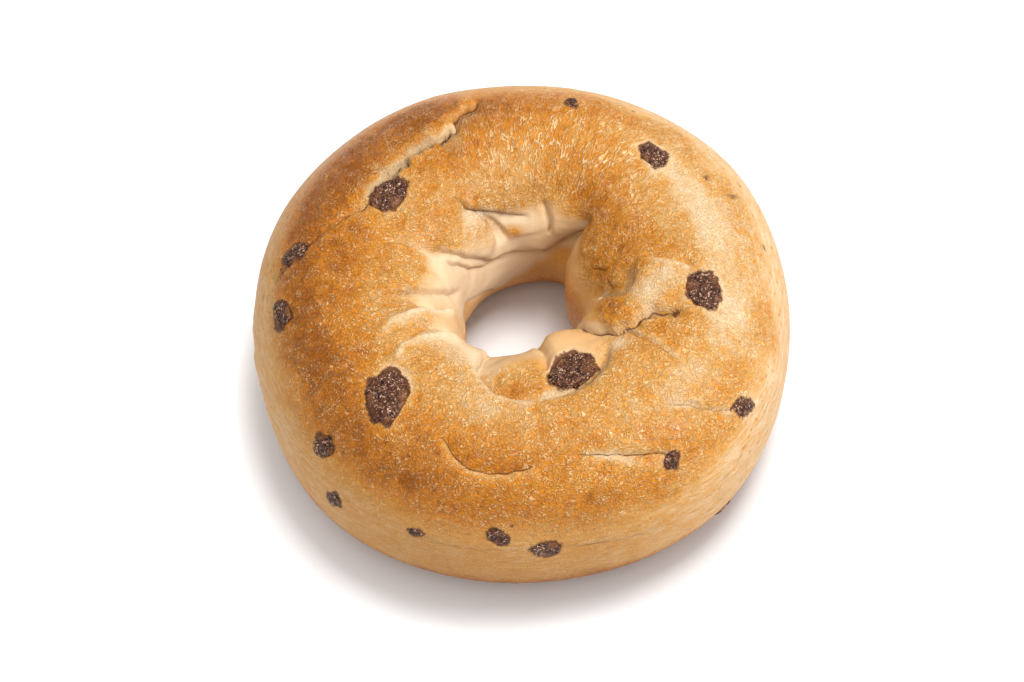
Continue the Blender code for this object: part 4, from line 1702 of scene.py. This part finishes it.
SOFTBOXES = (
    Softbox("key_softbox", -15, 50, 1.2, 0.45, 15.0, True, (1.0, 0.985, 0.965)),
    Softbox("back_glint", 66, 38, 1.2, 0.8, 3.0, True, (1.0, 0.98, 0.95)),
    Softbox("front_fill", 235, 77, 1.2, 1.0, 8.8, True, (1.0, 0.99, 0.98)),
    Softbox("floor_softbox", 45, 78, 1.2, 0.45, 14.0, False),
    Softbox("floor_wash", 265, 78, 1.5, 2.8, 28.0, False),
)


@dataclass
class Studio:
    """The floor, the lights, the pale surround and the camera."""

    target: tuple = (0.0, 0.0, 0.021)
    elevation: float = 57.5
    distance: float = 0.6
    pixels_per_metre: float = 4930
    right_of_middle: float = 10
    above_middle: float = 18
    sensor: float = 36
    floor_size: float = 6.0
    floor_drop: float = 0.1 * MM
    surround: float = 0.41
    clip_start: float = 0.01
    finish: FloorFinish = FloorFinish()
    bagel: bpy.types.Collection = field(init=False)
    floor: bpy.types.Collection = field(init=False)

    def make_camera(self) -> bpy.types.Object:
        """Set up the camera at the photograph's angle.

        Returns:
            The camera.
        """
        lens = bpy.data.cameras.new("camera")
        lens.sensor_width = self.sensor
        lens.lens = self.pixels_per_metre * self.distance / PHOTO_WIDTH * self.sensor
        lens.shift_x = -self.right_of_middle / PHOTO_WIDTH
        lens.shift_y = -self.above_middle / PHOTO_WIDTH
        lens.clip_start = self.clip_start
        camera = bpy.data.objects.new("camera", lens)
        tilt = math.radians(self.elevation)
        offset = Vector((0, -math.cos(tilt), math.sin(tilt))) * self.distance
        camera.location = Vector(self.target) + offset
        camera.rotation_euler = (math.radians(90 - self.elevation), 0, 0)
        bpy.context.scene.collection.objects.link(camera)
        bpy.context.scene.camera = camera
        return camera

    def make_floor(self) -> bpy.types.Object:
        """Lay the floor.

        Returns:
            The floor.
        """
        half = self.floor_size / 2
        corners = [(-half, -half, 0), (half, -half, 0), (half, half, 0), (-half, half, 0)]
        mesh = bpy.data.meshes.new("floor")
        mesh.from_pydata(corners, [], [(0, 1, 2, 3)])
        mesh.materials.append(self.finish.build())
        floor = bpy.data.objects.new("floor", mesh)
        floor.location.z = -self.floor_drop
        bpy.context.scene.collection.objects.link(floor)
        return floor

    def make_light(self, softbox: Softbox) -> bpy.types.Object:
        """Hang a soft light that faces the bagel.

        Args:
            softbox: What it is like.

        Returns:
            The light.
        """
        lamp = bpy.data.lights.new(softbox.name, "AREA")
        lamp.size = softbox.size
        lamp.energy = softbox.energy
        lamp.color = softbox.colour
        light = bpy.data.objects.new(softbox.name, lamp)
        turn, tilt = math.radians(softbox.azimuth), math.radians(softbox.elevation)
        way = Vector((math.cos(tilt) * math.cos(turn), math.cos(tilt) * math.sin(turn), math.sin(tilt)))
        light.location = Vector(self.target) + way * softbox.distance
        light.rotation_euler = way.to_track_quat("Z", "Y").to_euler()
        light.light_linking.receiver_collection = self.bagel if softbox.lights_bagel else self.floor
        bpy.context.scene.collection.objects.link(light)
        return light

    def make_surround(self) -> bpy.types.World:
        """Make the pale surround.

        Returns:
            The world.
        """
        world = bpy.data.worlds.new("pale_surround")
        world.use_nodes = True
        background = world.node_tree.nodes["Background"]
        background.inputs["Color"].default_value = (1.0, 1.0, 1.0, 1)
        background.inputs["Strength"].default_value = self.surround
        bpy.context.scene.world = world
        return world

    def build(self) -> None:
        """Set up the whole studio."""
        self.bagel = bpy.data.collections.new("lit_as_bagel")
        self.floor = bpy.data.collections.new("lit_as_floor")
        self.make_camera()
        self.floor.objects.link(self.make_floor())
        for softbox in SOFTBOXES:
            self.make_light(softbox)
        self.make_surround()
        view = bpy.context.scene.view_settings
        view.view_transform = "Standard"
        view.look = "None"
        view.exposure = 0.0
        view.gamma = 1.0


def hand_over(piece: bpy.types.Object, node: str, studio: Studio) -> None:
    """Set a piece in the place of its node, light it, and say what was made.

    Args:
        piece: The piece.
        node: The node that it replaces.
        studio: The studio that lights it.
    """
    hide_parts(node)
    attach(piece, "root")
    studio.bagel.objects.link(piece)
    LOG.info("%s: %d faces", piece.name, len(piece.data.polygons))


def main() -> None:
    """Build the bagel and its studio, and say what was made."""
    logging.basicConfig(level=logging.INFO, format="%(message)s")
    studio = Studio()
    studio.build()
    dough = Dough()
    hand_over(dough.build(), "dough", studio)
    for node, piece in Raisins(dough).build().items():
        hand_over(piece, node, studio)
    bpy.context.view_layer.update()


if __name__ == "__main__":
    main()
